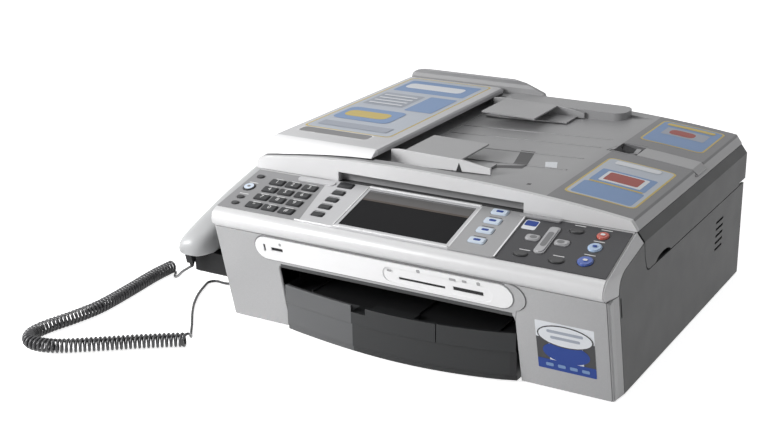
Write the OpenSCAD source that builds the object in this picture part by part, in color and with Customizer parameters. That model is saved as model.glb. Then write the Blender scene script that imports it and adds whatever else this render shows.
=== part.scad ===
// Tabletop fax machine with flatbed scanner, document feeder and corded handset.
// Machine coordinates: X runs across the front, Y from front to back, Z up,
// with X = 0 at the left wall and Y = 0 at the top edge of the front face.
// place() moves everything so that the origin is the centre of the footprint.

/* [Body] */
// Width of the main body without the handset
body_w = 398; // [390:1:410]
// Depth from the front face to the back of the lid
body_d = 370; // [366:1:376]
// Height at which the front cover ends under the control panel
front_h = 101; // [99:1:103]
// How far the foot of the front face is set back
front_setback = 21.8; // [16:0.2:24]
// Wall thickness of the casings
wall = 2.4; // [2:0.1:3]

/* [Control panel] */
// Slope of the control panel in degrees
panel_slope = 14.8; // [12:0.2:16]
// Height of the front edge of the control panel
panel_z = 119.5; // [118:0.5:121]
// Travel of the keys
key_travel = 1.2; // [0.8:0.1:1.5]

/* [Lid] */
// Height of the seam between scanner and document cover
lid_z = 138.5; // [138:0.5:140]
// Height of the crown of the lid above that seam
crown_h = 22.5; // [20:0.5:23]
// Height of the document feeder cover
feeder_top = 168; // [166:0.5:170]

/* [Paper tray] */
// Left edge of the tray mouth
mouth_x0 = 67.5; // [64:0.5:70]
// Right edge of the tray mouth
mouth_x1 = 310; // [306:0.5:311]
// Height of the tray mouth
mouth_h = 71; // [69:0.5:72]

/* [Handset] */
// Reach of the handset and cradle beyond the left wall
handset_reach = 70; // [68:1:74]
// Slope of the handset in degrees
handset_slope = 14; // [12:0.5:16]

/* [Hidden] */

// Colours of the mouldings
silver = [0.70, 0.70, 0.71];
pale = [0.86, 0.86, 0.87];
mid_grey = [0.50, 0.50, 0.51];
dark_grey = [0.27, 0.28, 0.28];
charcoal = [0.18, 0.18, 0.19];
black = [0.07, 0.07, 0.08];
light_blue = [0.66, 0.78, 0.90];

// Footprint and walls
nose_y = -8;                         // foremost point of the control panel
mid_x = (body_w - handset_reach) / 2;
mid_y = (body_d + nose_y) / 2;
case_z = 2;                          // underside of the casing above the table
case_back = 361;                     // back face of the lower case
seam_z = 100;                        // seam between lower case and scanner
scan_front = 72;                     // front edge of the scanner
scan_back = 366;                     // back edge of the scanner and document cover
wrap = 18;                           // how far the front cover wraps round the sides
gap = 0.5;                           // parting gap between casings
lean = atan(front_setback / 90);     // lean of the front face
front_len = front_h / cos(lean);

function front_y(z) = front_setback * (1 - z / 90);
function panel_at(y) = panel_z + y * tan(panel_slope);

// Points of an arc from angle a to angle b, on an ellipse of radii rx and ry
function arc(cx, cy, rx, ry, a, b, n = 8) =
  [for (i = [0:n]) let (t = a + (b - a) * i / n) [cx + rx * cos(t), cy + ry * sin(t)]];

// Outline of a rectangle with rounded corners
function round_box(x0, y0, x1, y1, r, n = 5) = concat(
  arc(x1 - r, y1 - r, r, r, 0, 90, n), arc(x0 + r, y1 - r, r, r, 90, 180, n),
  arc(x0 + r, y0 + r, r, r, 180, 270, n), arc(x1 - r, y0 + r, r, r, 270, 360, n));

module place() translate([-mid_x, -mid_y, 0]) children();

// A Y-Z outline extruded along X, and an X-Z outline extruded along Y
module along_x(points, x0, x1)
  translate([x0, 0, 0]) rotate([90, 0, 90]) linear_extrude(x1 - x0) polygon(points);
module along_y(points, y0, y1)
  translate([0, y1, 0]) rotate([90, 0, 0]) linear_extrude(y1 - y0) polygon(points);

// A plate with rounded corners, drawn in the local X-Y plane
module tile(x0, y0, x1, y1, r, h) linear_extrude(h) polygon(round_box(x0, y0, x1, y1, r));

module rod_x(x0, x1, r, fn = 48)
  translate([x0, 0, 0]) rotate([0, 90, 0]) cylinder(h = x1 - x0, r = r, $fn = fn);
module rod_y(y0, y1, r, fn = 48)
  translate([0, y1, 0]) rotate([90, 0, 0]) cylinder(h = y1 - y0, r = r, $fn = fn);

// Local frames: X across, Y up the surface, Z out of it
module on_front() translate([0, front_setback, 0]) rotate([lean, 0, 0]) rotate([90, 0, 0])
  children();
module on_panel() translate([0, 0, panel_z]) rotate([panel_slope, 0, 0]) children();

// ---------------------------------------------------------------- lower case
// Plan of the front cover: a straight front with drafted ends and narrow corners
function front_plan(inset) = inset == 0
  ? [[0, wrap], [0.4, 1.7], [0.8, 0.6], [1.8, 0], [body_w - 3.8, 0], [body_w - 2.7, 0.5],
     [body_w - 2.2, 1.5], [body_w, wrap]]
  : [[inset, wrap], [inset + 0.6, inset + 1], [inset + 1.4, inset], [body_w - 3.3, inset],
     [body_w - 3.1, inset + 1], [body_w - inset, wrap]];

module front_prism(z0, z1, inset)
  intersection() {
    translate([0, front_setback, 0]) rotate([lean, 0, 0]) translate([0, 0, -10])
      linear_extrude(front_len + 20) polygon(front_plan(inset));
    translate([-5, -40, z0]) cube([body_w + 10, 110, z1 - z0]);
  }

module mouth_cut() {
  top = mouth_h / cos(lean);
  translate([0, 0, -10]) tile(mouth_x0, -12, mouth_x1, top, 6, 40);
  // chamfered rim
  hull() {
    translate([0, 0, -1]) tile(mouth_x0, -12, mouth_x1, top, 6, 0.02);
    translate([0, 0, 0.1]) tile(mouth_x0 - 1.1, -12, mouth_x1, top + 1.1, 7, 0.02);
  }
}

bezel_x0 = 46;
bezel_x1 = 311;
bezel_s = 90.5;
bezel_r = 12;

// Outline of the ink cover: the right pillar of the front, from the tray mouth to the
// corner, rounding the ring at the end of the card bezel. g shrinks it all round.
cover_x1 = 394.4;
ring_r = 13.2;
ring_x = bezel_x1 - 2.2;
pivot_s = 6;                         // pivot of the ink cover on the front face
pivot_n = -5.4;
lug_r = 2.8;                         // radius of the lugs round that pivot
function cover_outline(g) = concat(
  arc(ring_x, bezel_s, ring_r + 0.7 + g, ring_r + 0.7 + g, 88, -75, 14),
  [[mouth_x1 + 0.5 + g, 66], [mouth_x1 + 0.5 + g, -6], [cover_x1 - g, -6],
   [cover_x1 - g, front_len + 6], [ring_x, front_len + 6]]);

module front_cover() color(silver) place() {
  difference() {
    union() {
      front_prism(case_z, front_h, 0);
      on_front() translate([ring_x, bezel_s, -1]) cylinder(h = 1.9, r = ring_r, $fn = 96);
    }
    front_prism(case_z - 1, front_h + 1, wall);
    on_front() {
      mouth_cut();
      translate([0, 0, -20]) linear_extrude(40) polygon(cover_outline(-gap));
      translate([0, 0, -wall - 1])
        tile(bezel_x0 + 3, bezel_s - bezel_r + 3, bezel_x1 - 3, bezel_s + bezel_r - 3, 8, 10);
      translate([0, 0, -0.05])
        tile(bezel_x0 - 0.2, bezel_s - bezel_r - 0.2, bezel_x1 + 0.2, bezel_s + bezel_r + 0.2, 12.1, 4);
    }
  }
  // frame of the ink bay behind the cover, with the lugs of its hinge
  on_front() {
    difference() {
      translate([mouth_x1 + 1.2, 4.5, -9.4]) cube([396.6 - mouth_x1 - 1.2, front_len - 6.5, 2.6]);
      translate([mouth_x1 + 7, 12, -12]) cube([386 - mouth_x1 - 7, front_len - 21, 8]);
      translate([mouth_x1 + 7, 0, -12]) cube([386 - mouth_x1 - 7, 9.2, 8]);
    }
    translate([395, 3, -8]) cube([2.1, front_len - 5, 6]);
    translate([300, front_len - 3.6, -9.4]) cube([20, 1.8, 6]);
    translate([300, front_len - 3.6, -9.4]) cube([7.6, 1.8, 8]);
    for (x = [328, 378]) difference() {
      hull() {
        translate([0, pivot_s, pivot_n]) rod_x(x, x + 4, lug_r, 32);
        translate([x, 9.4, -9.2]) cube([4, 2, 2.2]);
      }
      translate([0, pivot_s, pivot_n]) rod_x(x - 1, x + 5, 1.3, 24);
    }
  }
}

module ink_cover() color(silver) place() {
  intersection() {
    difference() {
      front_prism(case_z, front_h, 0);
      front_prism(case_z - 1, front_h + 1, wall);
    }
    on_front() translate([0, 0, -30]) linear_extrude(40) polygon(cover_outline(0));
  }
  // pivot lugs with their pins, and the catch at the top
  on_front() {
    for (x = [333, 373]) {
      translate([0, pivot_s, pivot_n]) rod_x(x, x + 4, lug_r, 32);
      translate([x, pivot_s - 2, pivot_n]) cube([4, 4, 3.4]);
    }
    for (x = [327, 373]) translate([0, pivot_s, pivot_n]) rod_x(x, x + 10, 1.2, 24);
    translate([352, front_len - 12, -6.6]) cube([12, 2.4, 5]);
  }
}

// Side profile of the lower case: its front edge follows the front face and the
// panel, and the notch behind it takes the tab of the scanner
function side_profile(g) = concat(
  [[front_y(case_z) + wrap + 1.2 - g, case_z - g], [front_y(front_h) + wrap + 1.2 - g, front_h]],
  arc(33, 107, 16.3 + g, 14 + g, 180, 112, 5),
  [[71, 129.4 + g], [74 + g, 115], [78.5 + g, 105 + g], [82, 101.2 + g], [86, seam_z + g],
   [case_back + g, seam_z + g], [case_back + g, case_z - g]]);

module side_wall(x) difference() {
  along_x(side_profile(0), x, x + wall);
  // stack of cooling slots near the back
  for (i = [0:4]) translate([x - 1, 275, 53 + i * 7]) cube([wall + 2, 22, 2.6]);
  // slot behind the front corner
  translate([x - 1, 24, 78]) rotate([lean, 0, 0]) cube([wall + 2, 2.2, 20]);
}

deck_z = 96;
hinge_y = 358;                       // pivot of the scanner
hinge_z = 103.5;
jam_y = case_back - wall / 2;         // pivot of the jam cover
jam_z = 32;
module body_case() color(charcoal) place() {
  side_wall(0);
  side_wall(body_w - wall);
  // back wall with the opening for the jam cover and the socket bay
  difference() {
    translate([wall - 0.5, case_back - wall, case_z]) cube([body_w - 2 * wall + 1, wall, 97.5 - case_z]);
    translate([70, case_back - wall - 1, 29.5]) cube([240, wall + 2, 52.5]);
    translate([0, jam_y, jam_z]) rod_x(66, 314, 0.95, 20);
    translate([330, case_back - wall - 1, 12]) cube([40, wall + 2, 26]);
  }
  // deck that carries the scanner, open over the print mechanism
  difference() {
    translate([wall - 0.5, 76, deck_z]) cube([body_w - 2 * wall + 1, case_back - 78, 2.5]);
    translate([34, 108, deck_z - 1]) cube([328, 150, 5]);
  }
  // pads that the scanner rests on
  for (x = [9, body_w - 29], y = [92, 318]) translate([x, y, deck_z + 2]) cube([20, 14, 2]);
  // ribs that stiffen the side walls under the deck
  for (y = [110 : 60 : 350]) {
    translate([wall - 0.4, y, 14]) cube([8, 2.4, deck_z - 13.6]);
    translate([body_w - wall - 7.6, y, 14]) cube([8, 2.4, deck_z - 13.6]);
  }
  // hinge knuckles for the scanner
  for (x = [40, 330]) difference() {
    translate([x, 350, deck_z + 2]) cube([28, 12, hinge_z - deck_z + 1.6]);
    translate([0, hinge_y, hinge_z]) rod_x(x - 1, x + 29, 2.45);
  }
}

module base_pan() color(black) place() {
  difference() {
    translate([wall + 0.2, 42, case_z]) cube([body_w - 2 * wall - 0.4, case_back - wall - 43, 4]);
    for (x = [30 : 60 : 390], y = [80, 150, 290])
      translate([x - 14, y, case_z + 2.5]) cube([40, 46, 4]);
  }
  // guide walls beside the paper tray
  for (x = [mouth_x0 - 4.4, mouth_x1 + 1.6]) difference() {
    translate([x, 44, case_z + 3.5]) cube([2.6, 296, 48]);
    translate([x - 1, 120, 30]) cube([5, 120, 12]);
  }
  // rails that the paper tray slides on
  for (x = [88, 284]) translate([x, 60, case_z + 3.5]) cube([3, 280, 1.5]);
}

module rubber_feet() color(black) place()
  for (x = [34, body_w - 34], y = [58, case_back - 30])
    translate([x, y, 0]) {
      cylinder(h = 1.2, r1 = 8, r2 = 9, $fn = 48);
      translate([0, 0, 1.2]) cylinder(h = case_z - 1.2, r = 9, $fn = 48);
    }

// White card bezel: a raised pill with the card slots and ports
module card_bezel() color(pale) place() on_front() difference() {
  union() {
    translate([0, 0, 0.05]) tile(bezel_x0, bezel_s - bezel_r, bezel_x1, bezel_s + bezel_r, 11.9, 1.6);
    translate([0, 0, -wall - 9]) tile(bezel_x0 + 3.6, bezel_s - bezel_r + 3.6, bezel_x1 - 3.6,
                                      bezel_s + bezel_r - 3.6, 7, wall + 9.2);
  }
  // recess with the two card slots
  translate([0, 0, 1]) tile(184, bezel_s - 9, 292, bezel_s + 7, 7.5, 2);
  translate([200, bezel_s - 4.6, -wall - 6]) cube([46, 2.6, 20]);
  translate([254, bezel_s - 4, -wall - 6]) cube([29, 3.9, 20]);
  // camera port and key slit
  translate([64, bezel_s - 1.5, -wall - 6]) cube([13, 3.9, 20]);
  translate([55.5, bezel_s - 3.5, -wall - 2]) cube([2.2, 8, 20]);
}

// ------------------------------------------------------------- control panel
lcd_x0 = 131;
lcd_x1 = 247;
lcd_t0 = 3.5;
lcd_t1 = 69;
plate_x0 = 90;
plate_x1 = 292;

// Outline of the panel moulding from the front cover round the nose to the scanner
function panel_profile(d) = concat(
  [[front_y(front_h) + d, front_h + gap]],
  arc(3.2, 109.7, 11.2 - d, 10.2 - d, 208, 106, 9),
  [[scan_front - 2, panel_at(scan_front - 2) - d],
   [scan_front - 2, panel_at(scan_front - 2) - 9]]);
module panel_skin(d) difference() {
  along_x(concat(panel_profile(d), [[73.2, 114.6], [77.6, 104.6], [80, front_h + gap]]), -2, body_w + 2);
  along_x(concat([[front_y(front_h) + 3, front_h - 1]], arc(3.2, 109.7, 8.2, 7.2, 208, 106, 6),
    [[scan_front - 5, panel_at(scan_front - 5) - 3], [scan_front - 5, 118], [70, 112],
     [74, front_h - 1]]), -4, body_w + 4);
}

// Ends of the panel top in plan, which draw in towards the lid
function panel_left(y) = 1.9 + 0.05 * y;
function panel_right(y) = body_w - 4.4 - 0.04 * y;
module panel_span(a, b) linear_extrude(200) polygon([[panel_left(-20) + a, -20],
  [panel_right(-20) - b, -20], [panel_right(90) - b, 90], [panel_left(90) + a, 90]]);

// End caps close the panel and bevel its top edge down to the side walls
module end_cap(x_in, draw, x_out) difference() {
  hull() {
    multmatrix([[1, draw, 0, 0], [0, 1, 0, 0], [0, 0, 1, 0]])
      along_x(panel_profile(0), x_in, x_in + 0.4);
    along_x(concat([[front_y(front_h) + wrap - 0.4, front_h + gap]],
      arc(33, 107, 17.4, 14.3, 180, 112, 5), [[scan_front - 2, 129.4], [scan_front - 2, 122]]),
      x_out, x_out + 0.3);
  }
  along_x(side_profile(0.3), x_out > x_in ? body_w - wall - 0.2 : -1,
          x_out > x_in ? body_w + 1 : wall + 0.2);
}

// Places of the dial keys and the other keys, as [x, distance up the panel]
dial_x = [38, 56, 75];
dial_t = [51.8, 38.6, 24.8, 10.8];
dial_size = [15.6, 8.8];
touch_x = 107.5;
touch_t = [65, 51.6, 39.4, 27, 14.2];
mode_x = 267.5;
mode_t = [65, 50.2, 35, 19];
mode_half = 4.3;
side_keys_at = [[15, 57, 4.2, 2.8], [14.5, 37.5, 6, 6], [16.5, 20, 4, 2.6], [17.5, 9.6, 4, 2.6]];
oval_keys_at = [[311, 12.8, 6.4, 3.6], [343.5, 12.8, 6.8, 4.4], [343, 58, 6.4, 3.8]];
right_x = 367;
stop_t = 57.4;
colour_t = 39.4;
mono_t = 18.6;
nav_at = [324.5, 37.8];

module ellipse_key(x, t, rx, ry, z0, h)
  translate([x, t, z0]) linear_extrude(h) polygon(arc(0, 0, rx, ry, 0, 345, 23));

// Holes for every key, grown by clearance c
module key_holes(c, z0, h) {
  for (x = dial_x, t = dial_t) translate([0, 0, z0])
    tile(x - dial_size[0] / 2 - c, t - dial_size[1] / 2 - c, x + dial_size[0] / 2 + c,
         t + dial_size[1] / 2 + c, 1.5, h);
  for (i = [0:4]) translate([0, 0, z0]) touch_tile(i, c, h);
  for (t = mode_t) translate([0, 0, z0]) tile(mode_x - 8 - c, t - mode_half - c, mode_x + 8 + c, t + mode_half + c, 2.2, h);
  for (k = concat(side_keys_at, oval_keys_at)) ellipse_key(k[0], k[1], k[2] + c, k[3] + c, z0, h);
  for (k = [[stop_t, 5.4], [colour_t, 6.2], [mono_t, 6.8]])
    ellipse_key(right_x, k[0], k[1] + c, k[1] + c, z0, h);
  translate([0, 0, z0]) nav_v_tile(c, h);
  translate([0, 0, z0]) nav_h_tile(c, h);
}
module touch_tile(i, c, h) {
  w = i == 0 ? 8 : 6.4;
  d = i == 0 ? 4.2 : 3.2;
  tile(touch_x - w - c, touch_t[i] - d - c, touch_x + w + c, touch_t[i] + d + c, 1.4, h);
}
module nav_v_tile(c, h)
  tile(nav_at[0] - 5 - c, nav_at[1] - 20 - c, nav_at[0] + 5 + c, nav_at[1] + 20 + c, 3.5, h);
module nav_h_tile(c, h) for (s = [-1, 1])
  translate([nav_at[0] + s * 13.5, nav_at[1], 0])
    tile(-6.5 - c, -4.2 - c, 6.5 + c, 4.2 + c, 2.8, h);

module control_panel() color(silver) place() {
  difference() {
    union() {
      intersection() { panel_skin(0); panel_span(0.1, 1); }
      intersection() { panel_skin(0.9); panel_span(0.1, -0.1); }
    }
    on_panel() {
      translate([0, 0, -20]) tile(lcd_x0 - 1, lcd_t0 - 1, lcd_x1 + 1, lcd_t1 + 1, 2, 30);
      key_holes(0.8, -12, 20);
      translate([0, lcd_t0 + 2, -0.6]) rod_x(lcd_x0 - 5, lcd_x1 + 5, 0.6, 16);
    }
  }
  end_cap(panel_left(0), 0.05, 0.2);
  end_cap(panel_right(0), -0.04, body_w - 0.5);
}

// Thin plates on the panel: the two key fields and the plate round the display
field_h = 0.8;
module key_fields() color(dark_grey) place() on_panel() difference() {
  union() {
    translate([0, 0, 0.05]) linear_extrude(field_h) polygon([[2.5, 1], [plate_x0 + 4.4, 1],
      [plate_x0 - 4.6, scan_front - 3], [5.8, scan_front - 3]]);
    translate([0, 0, 0.05]) linear_extrude(field_h) polygon([[plate_x1 + 0.6, 1],
      [body_w - 6.2, 1], [body_w - 8.8, scan_front - 3], [plate_x1 + 0.6, scan_front - 3]]);
  }
  key_holes(0.4, -5, 12);
}

module centre_plate() color(silver) place() on_panel() difference() {
  union() {
    translate([0, 0, 0.05]) linear_extrude(1.6) polygon(concat(
      arc(plate_x1 - 3, scan_front - 4.5, 3, 3, 0, 90, 4), arc(plate_x0 - 1, scan_front - 4.5, 3, 3, 90, 180, 4),
      arc(plate_x0 + 8, 3.5, 3, 3, 190, 270, 4), arc(plate_x1 - 3, 3.5, 3, 3, 270, 360, 4)));
    // tongues that reach over the key fields
    translate([0, 0, 1]) tile(55, 60.5, plate_x0 + 6, 67.5, 3.2, 1.5);
    translate([0, 0, 1]) tile(plate_x1 - 6, 65, 325, 69, 1.9, 1.8);
  }
  translate([0, 0, -5]) tile(lcd_x0 - 1, lcd_t0 - 1, lcd_x1 + 1, lcd_t1 + 1, 2, 12);
  key_holes(0.4, -5, 12);
}

// Display unit, hinged along its front edge
lcd_deep = 8;
module lcd_housing() color(silver) place() on_panel() {
  difference() {
    translate([0, 0, -lcd_deep]) tile(lcd_x0, lcd_t0, lcd_x1, lcd_t1, 1.5, lcd_deep + 1.4);
    translate([0, 0, -0.4]) tile(lcd_x0 + 3, lcd_t0 + 3, lcd_x1 - 3, lcd_t1 - 3.6, 0.8, 4);
  }
  for (x = [lcd_x0 - 4, lcd_x1 - 2]) translate([0, lcd_t0 + 2, -0.6]) rod_x(x, x + 6, 0.5, 16);
}
module lcd_window() color(black) place() on_panel()
  translate([0, 0, -0.4]) tile(lcd_x0 + 3.1, lcd_t0 + 3.1, lcd_x1 - 3.1, lcd_t1 - 3.7, 0.7, 1.6);

// ----------------------------------------------------------------------- keys
stem = 4;
module dial_key(col, row) color(charcoal) place() on_panel()
  translate([dial_x[col], dial_t[row], 0]) {
    translate([0, 0, -stem]) tile(-dial_size[0] / 2, -dial_size[1] / 2, dial_size[0] / 2,
                                  dial_size[1] / 2, 1.4, stem + 1.6);
    translate([0, 0, 1.6]) tile(-dial_size[0] / 2 + 0.8, -dial_size[1] / 2 + 0.8,
                                dial_size[0] / 2 - 0.8, dial_size[1] / 2 - 0.8, 1, 0.7);
  }
module round_key(x, t, r) {
  ellipse_key(x, t, r, r, -stem, stem + 1.6);
  ellipse_key(x, t, r - 0.9, r - 0.9, 1.6, 0.7);
}
module stop_key() color("firebrick") place() on_panel() round_key(right_x, stop_t, 5.4);
module colour_key() color(light_blue) place() on_panel() round_key(right_x, colour_t, 6.2);
module mono_key() color("royalblue") place() on_panel() round_key(right_x, mono_t, 6.8);
module nav_vertical() color(silver) place() on_panel() {
  translate([0, 0, -stem]) nav_v_tile(0, stem + 1.8);
  translate([0, 0, 1.8]) nav_v_tile(-1.2, 0.8);
}
module nav_horizontal() color(silver) place() on_panel() {
  translate([0, 0, -stem]) nav_h_tile(0, stem + 1.6);
  translate([0, 0, 1.6]) nav_h_tile(-1, 0.7);
}
module mode_keys() color(light_blue) place() on_panel() for (t = mode_t) {
  translate([0, 0, -stem]) tile(mode_x - 8, t - mode_half, mode_x + 8, t + mode_half, 2, stem + 2.2);
  translate([0, 0, 2.2]) tile(mode_x - 7, t - mode_half + 1, mode_x + 7, t + mode_half - 1, 1.5, 0.6);
}
module one_touch_keys() color(dark_grey) place() on_panel() for (i = [0:4]) {
  translate([0, 0, -stem]) touch_tile(i, 0, stem + 2.2);
  translate([0, 0, 2.2]) touch_tile(i, -0.8, 0.6);
}
module small_keys() color(dark_grey) place() on_panel() for (k = concat(side_keys_at, oval_keys_at)) {
  ellipse_key(k[0], k[1], k[2], k[3], -stem, stem + 1.6);
  ellipse_key(k[0], k[1], k[2] - 0.7, k[3] - 0.7, 1.6, 0.5);
}

// --------------------------------------------------------------------- scanner
scan_z0 = seam_z + 1;
scan_z1 = lid_z - 0.5;
glass_x0 = 48;
glass_x1 = 352;
glass_y0 = 94;
glass_y1 = 314;
lid_hinges = [70, 320];              // places of the document cover's hinges
lid_hinge_y = scan_back + 2;
lid_hinge_z = lid_z - 0.2;
scan_outline = [[0, scan_z0], [0, 130], [4, scan_z1], [body_w - 6, scan_z1], [body_w, 130],
                [body_w, scan_z0]];
scan_side = [[scan_front, scan_z1], [scan_front, 130.2], [75.2, 115], [79.6, 105.6], [83, 102.2],
             [87, scan_z0], [343, scan_z0], [347, scan_z0 + 2.2], [scan_back, scan_z0 + 2.2],
             [scan_back, scan_z1]];

module scanner_frame() color(charcoal) place() {
  difference() {
  intersection() {
    along_y(scan_outline, scan_front, scan_back);
    along_x(scan_side, 0, body_w);
  }
  // hollow inside, above the floor and below the glass frame
  translate([wall, 90, scan_z0 + 2.4]) cube([body_w - 2 * wall, 248, 130 - scan_z0 - 2.4]);
  translate([wall, 330, 114]) cube([body_w - 2 * wall, scan_back - 333, 16]);
  translate([8, 92, 129]) cube([body_w - 18, scan_back - 98, scan_z1 - 129 - 2.4]);
  // window and its rebate
  translate([glass_x0 + 4, glass_y0 + 4, 130]) cube([glass_x1 - glass_x0 - 8, glass_y1 - glass_y0 - 8, 12]);
  translate([glass_x0, glass_y0, scan_z1 - 1.2]) cube([glass_x1 - glass_x0, glass_y1 - glass_y0, 3]);
  // narrow window for fed documents
  translate([24, glass_y0 + 4, 130]) cube([14, glass_y1 - glass_y0 - 8, 12]);
  // finger notch at each side
  for (x = [-1, body_w - 5]) translate([x, 122, 99]) rotate([0, 90, 0])
    linear_extrude(6) polygon(arc(0, 0, 7, 20, 0, 350, 24));
  // room for the hinge knuckles
  for (x = [39, 329]) translate([x, 340, scan_z0 - 1]) cube([30, 28, 12]);
  }
  // feet that rest on the pads of the lower case
  for (x = [11, body_w - 27], y = [94, 320]) translate([x, y, seam_z]) cube([16, 10, 1.6]);
  // lugs and pins of the document cover's hinge
  for (x = lid_hinges) {
    for (side = [-1, 1]) translate([0, lid_hinge_y, lid_hinge_z])
      rod_x(x + side * 13 - 3 + side * 0.2, x + side * 13 + 3 + side * 0.2, 2);
    translate([0, lid_hinge_y, lid_hinge_z]) rod_x(x - 15, x + 15, 1, 24);
    for (side = [-1, 1]) translate([x + side * 13.2 - 3, scan_back - 4, lid_hinge_z - 5])
      cube([6, lid_hinge_y - scan_back + 4, 5]);
  }
  // hinge pins, and the rod that carries the scan carriage
  for (x = [39, 329]) translate([0, hinge_y, hinge_z]) rod_x(x - 0.5, x + 30.5, 2.4);
  translate([0, 208, 108]) rod_x(wall - 0.5, body_w - wall + 0.5, 3);
}
module scanner_glass() color([0.55, 0.65, 0.66, 0.6]) place()
  translate([glass_x0 + 0.2, glass_y0 + 0.2, scan_z1 - 1.2])
    cube([glass_x1 - glass_x0 - 0.4, glass_y1 - glass_y0 - 0.4, 1.2]);

module scan_carriage() color(black) place() {
  difference() {
    translate([26, glass_y0 + 6, 112]) cube([20, glass_y1 - glass_y0 - 12, 15]);
    translate([29, glass_y0 + 14, 122]) cube([14, glass_y1 - glass_y0 - 28, 6]);
  }
  translate([34, glass_y0 + 16, 121.5]) cube([4, glass_y1 - glass_y0 - 32, 3]);
  difference() {
    translate([28, 200, 104.4]) cube([16, 16, 8]);
    translate([0, 208, 108]) rod_x(20, 50, 3.08);
  }
}

// -------------------------------------------------------------- document cover
lid_peak_x = 150;
lid_left_drop = 11;
lid_right_drop = 13.2;
// Height of the crowned top at x, lowered by d
function crown(x, d = 0) = lid_z + crown_h - d - (x < lid_peak_x
  ? lid_left_drop * pow((lid_peak_x - x) / 146, 2)
  : lid_right_drop * pow((x - lid_peak_x) / 235, 2.4));
lid_steps = [5, 20, 45, 75, 110, 150, 190, 225, 260, 290, 315, 340, 362, 378, 386];
function crown_line(d) = [for (x = lid_steps) [x, crown(x, d)]];
lid_outline = concat([[0.5, lid_z], [1.2, lid_z + 8]], crown_line(0),
                     [[body_w - 6.5, lid_z + 1.6], [body_w - 6.2, lid_z]]);
lid_inside = concat([[3.4, lid_z - 1], [4, lid_z + 6.2]], crown_line(3),
                    [[body_w - 10, lid_z + 1], [body_w - 10, lid_z - 1]]);
sink_x0 = 126;
sink_x1 = 303;
sink_y0 = 84;
sink_y1 = 352;
block_y0 = 332;                      // front of the rounded block behind the guides
sink_z0 = 149.5;
sink_outline = [[sink_x0, sink_z0], [sink_x1, crown(sink_x1)], [sink_x1 + 4, 190], [sink_x0, 190]];
feeder_y0 = 76;
feeder_y1 = 363;
flap_y0 = 230;
flap_y1 = 256;
flap_x0 = 330;
roller_z = 157.4;                    // axis of the feed rollers
feeder_hinges = [125, 305];          // places of the feeder cover's hinges
feeder_hinge_x = 5;
feeder_hinge_z = 153.5;
flap_pivot = [389.7, 142.9];         // X and Z of the document stop's pivot

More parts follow.
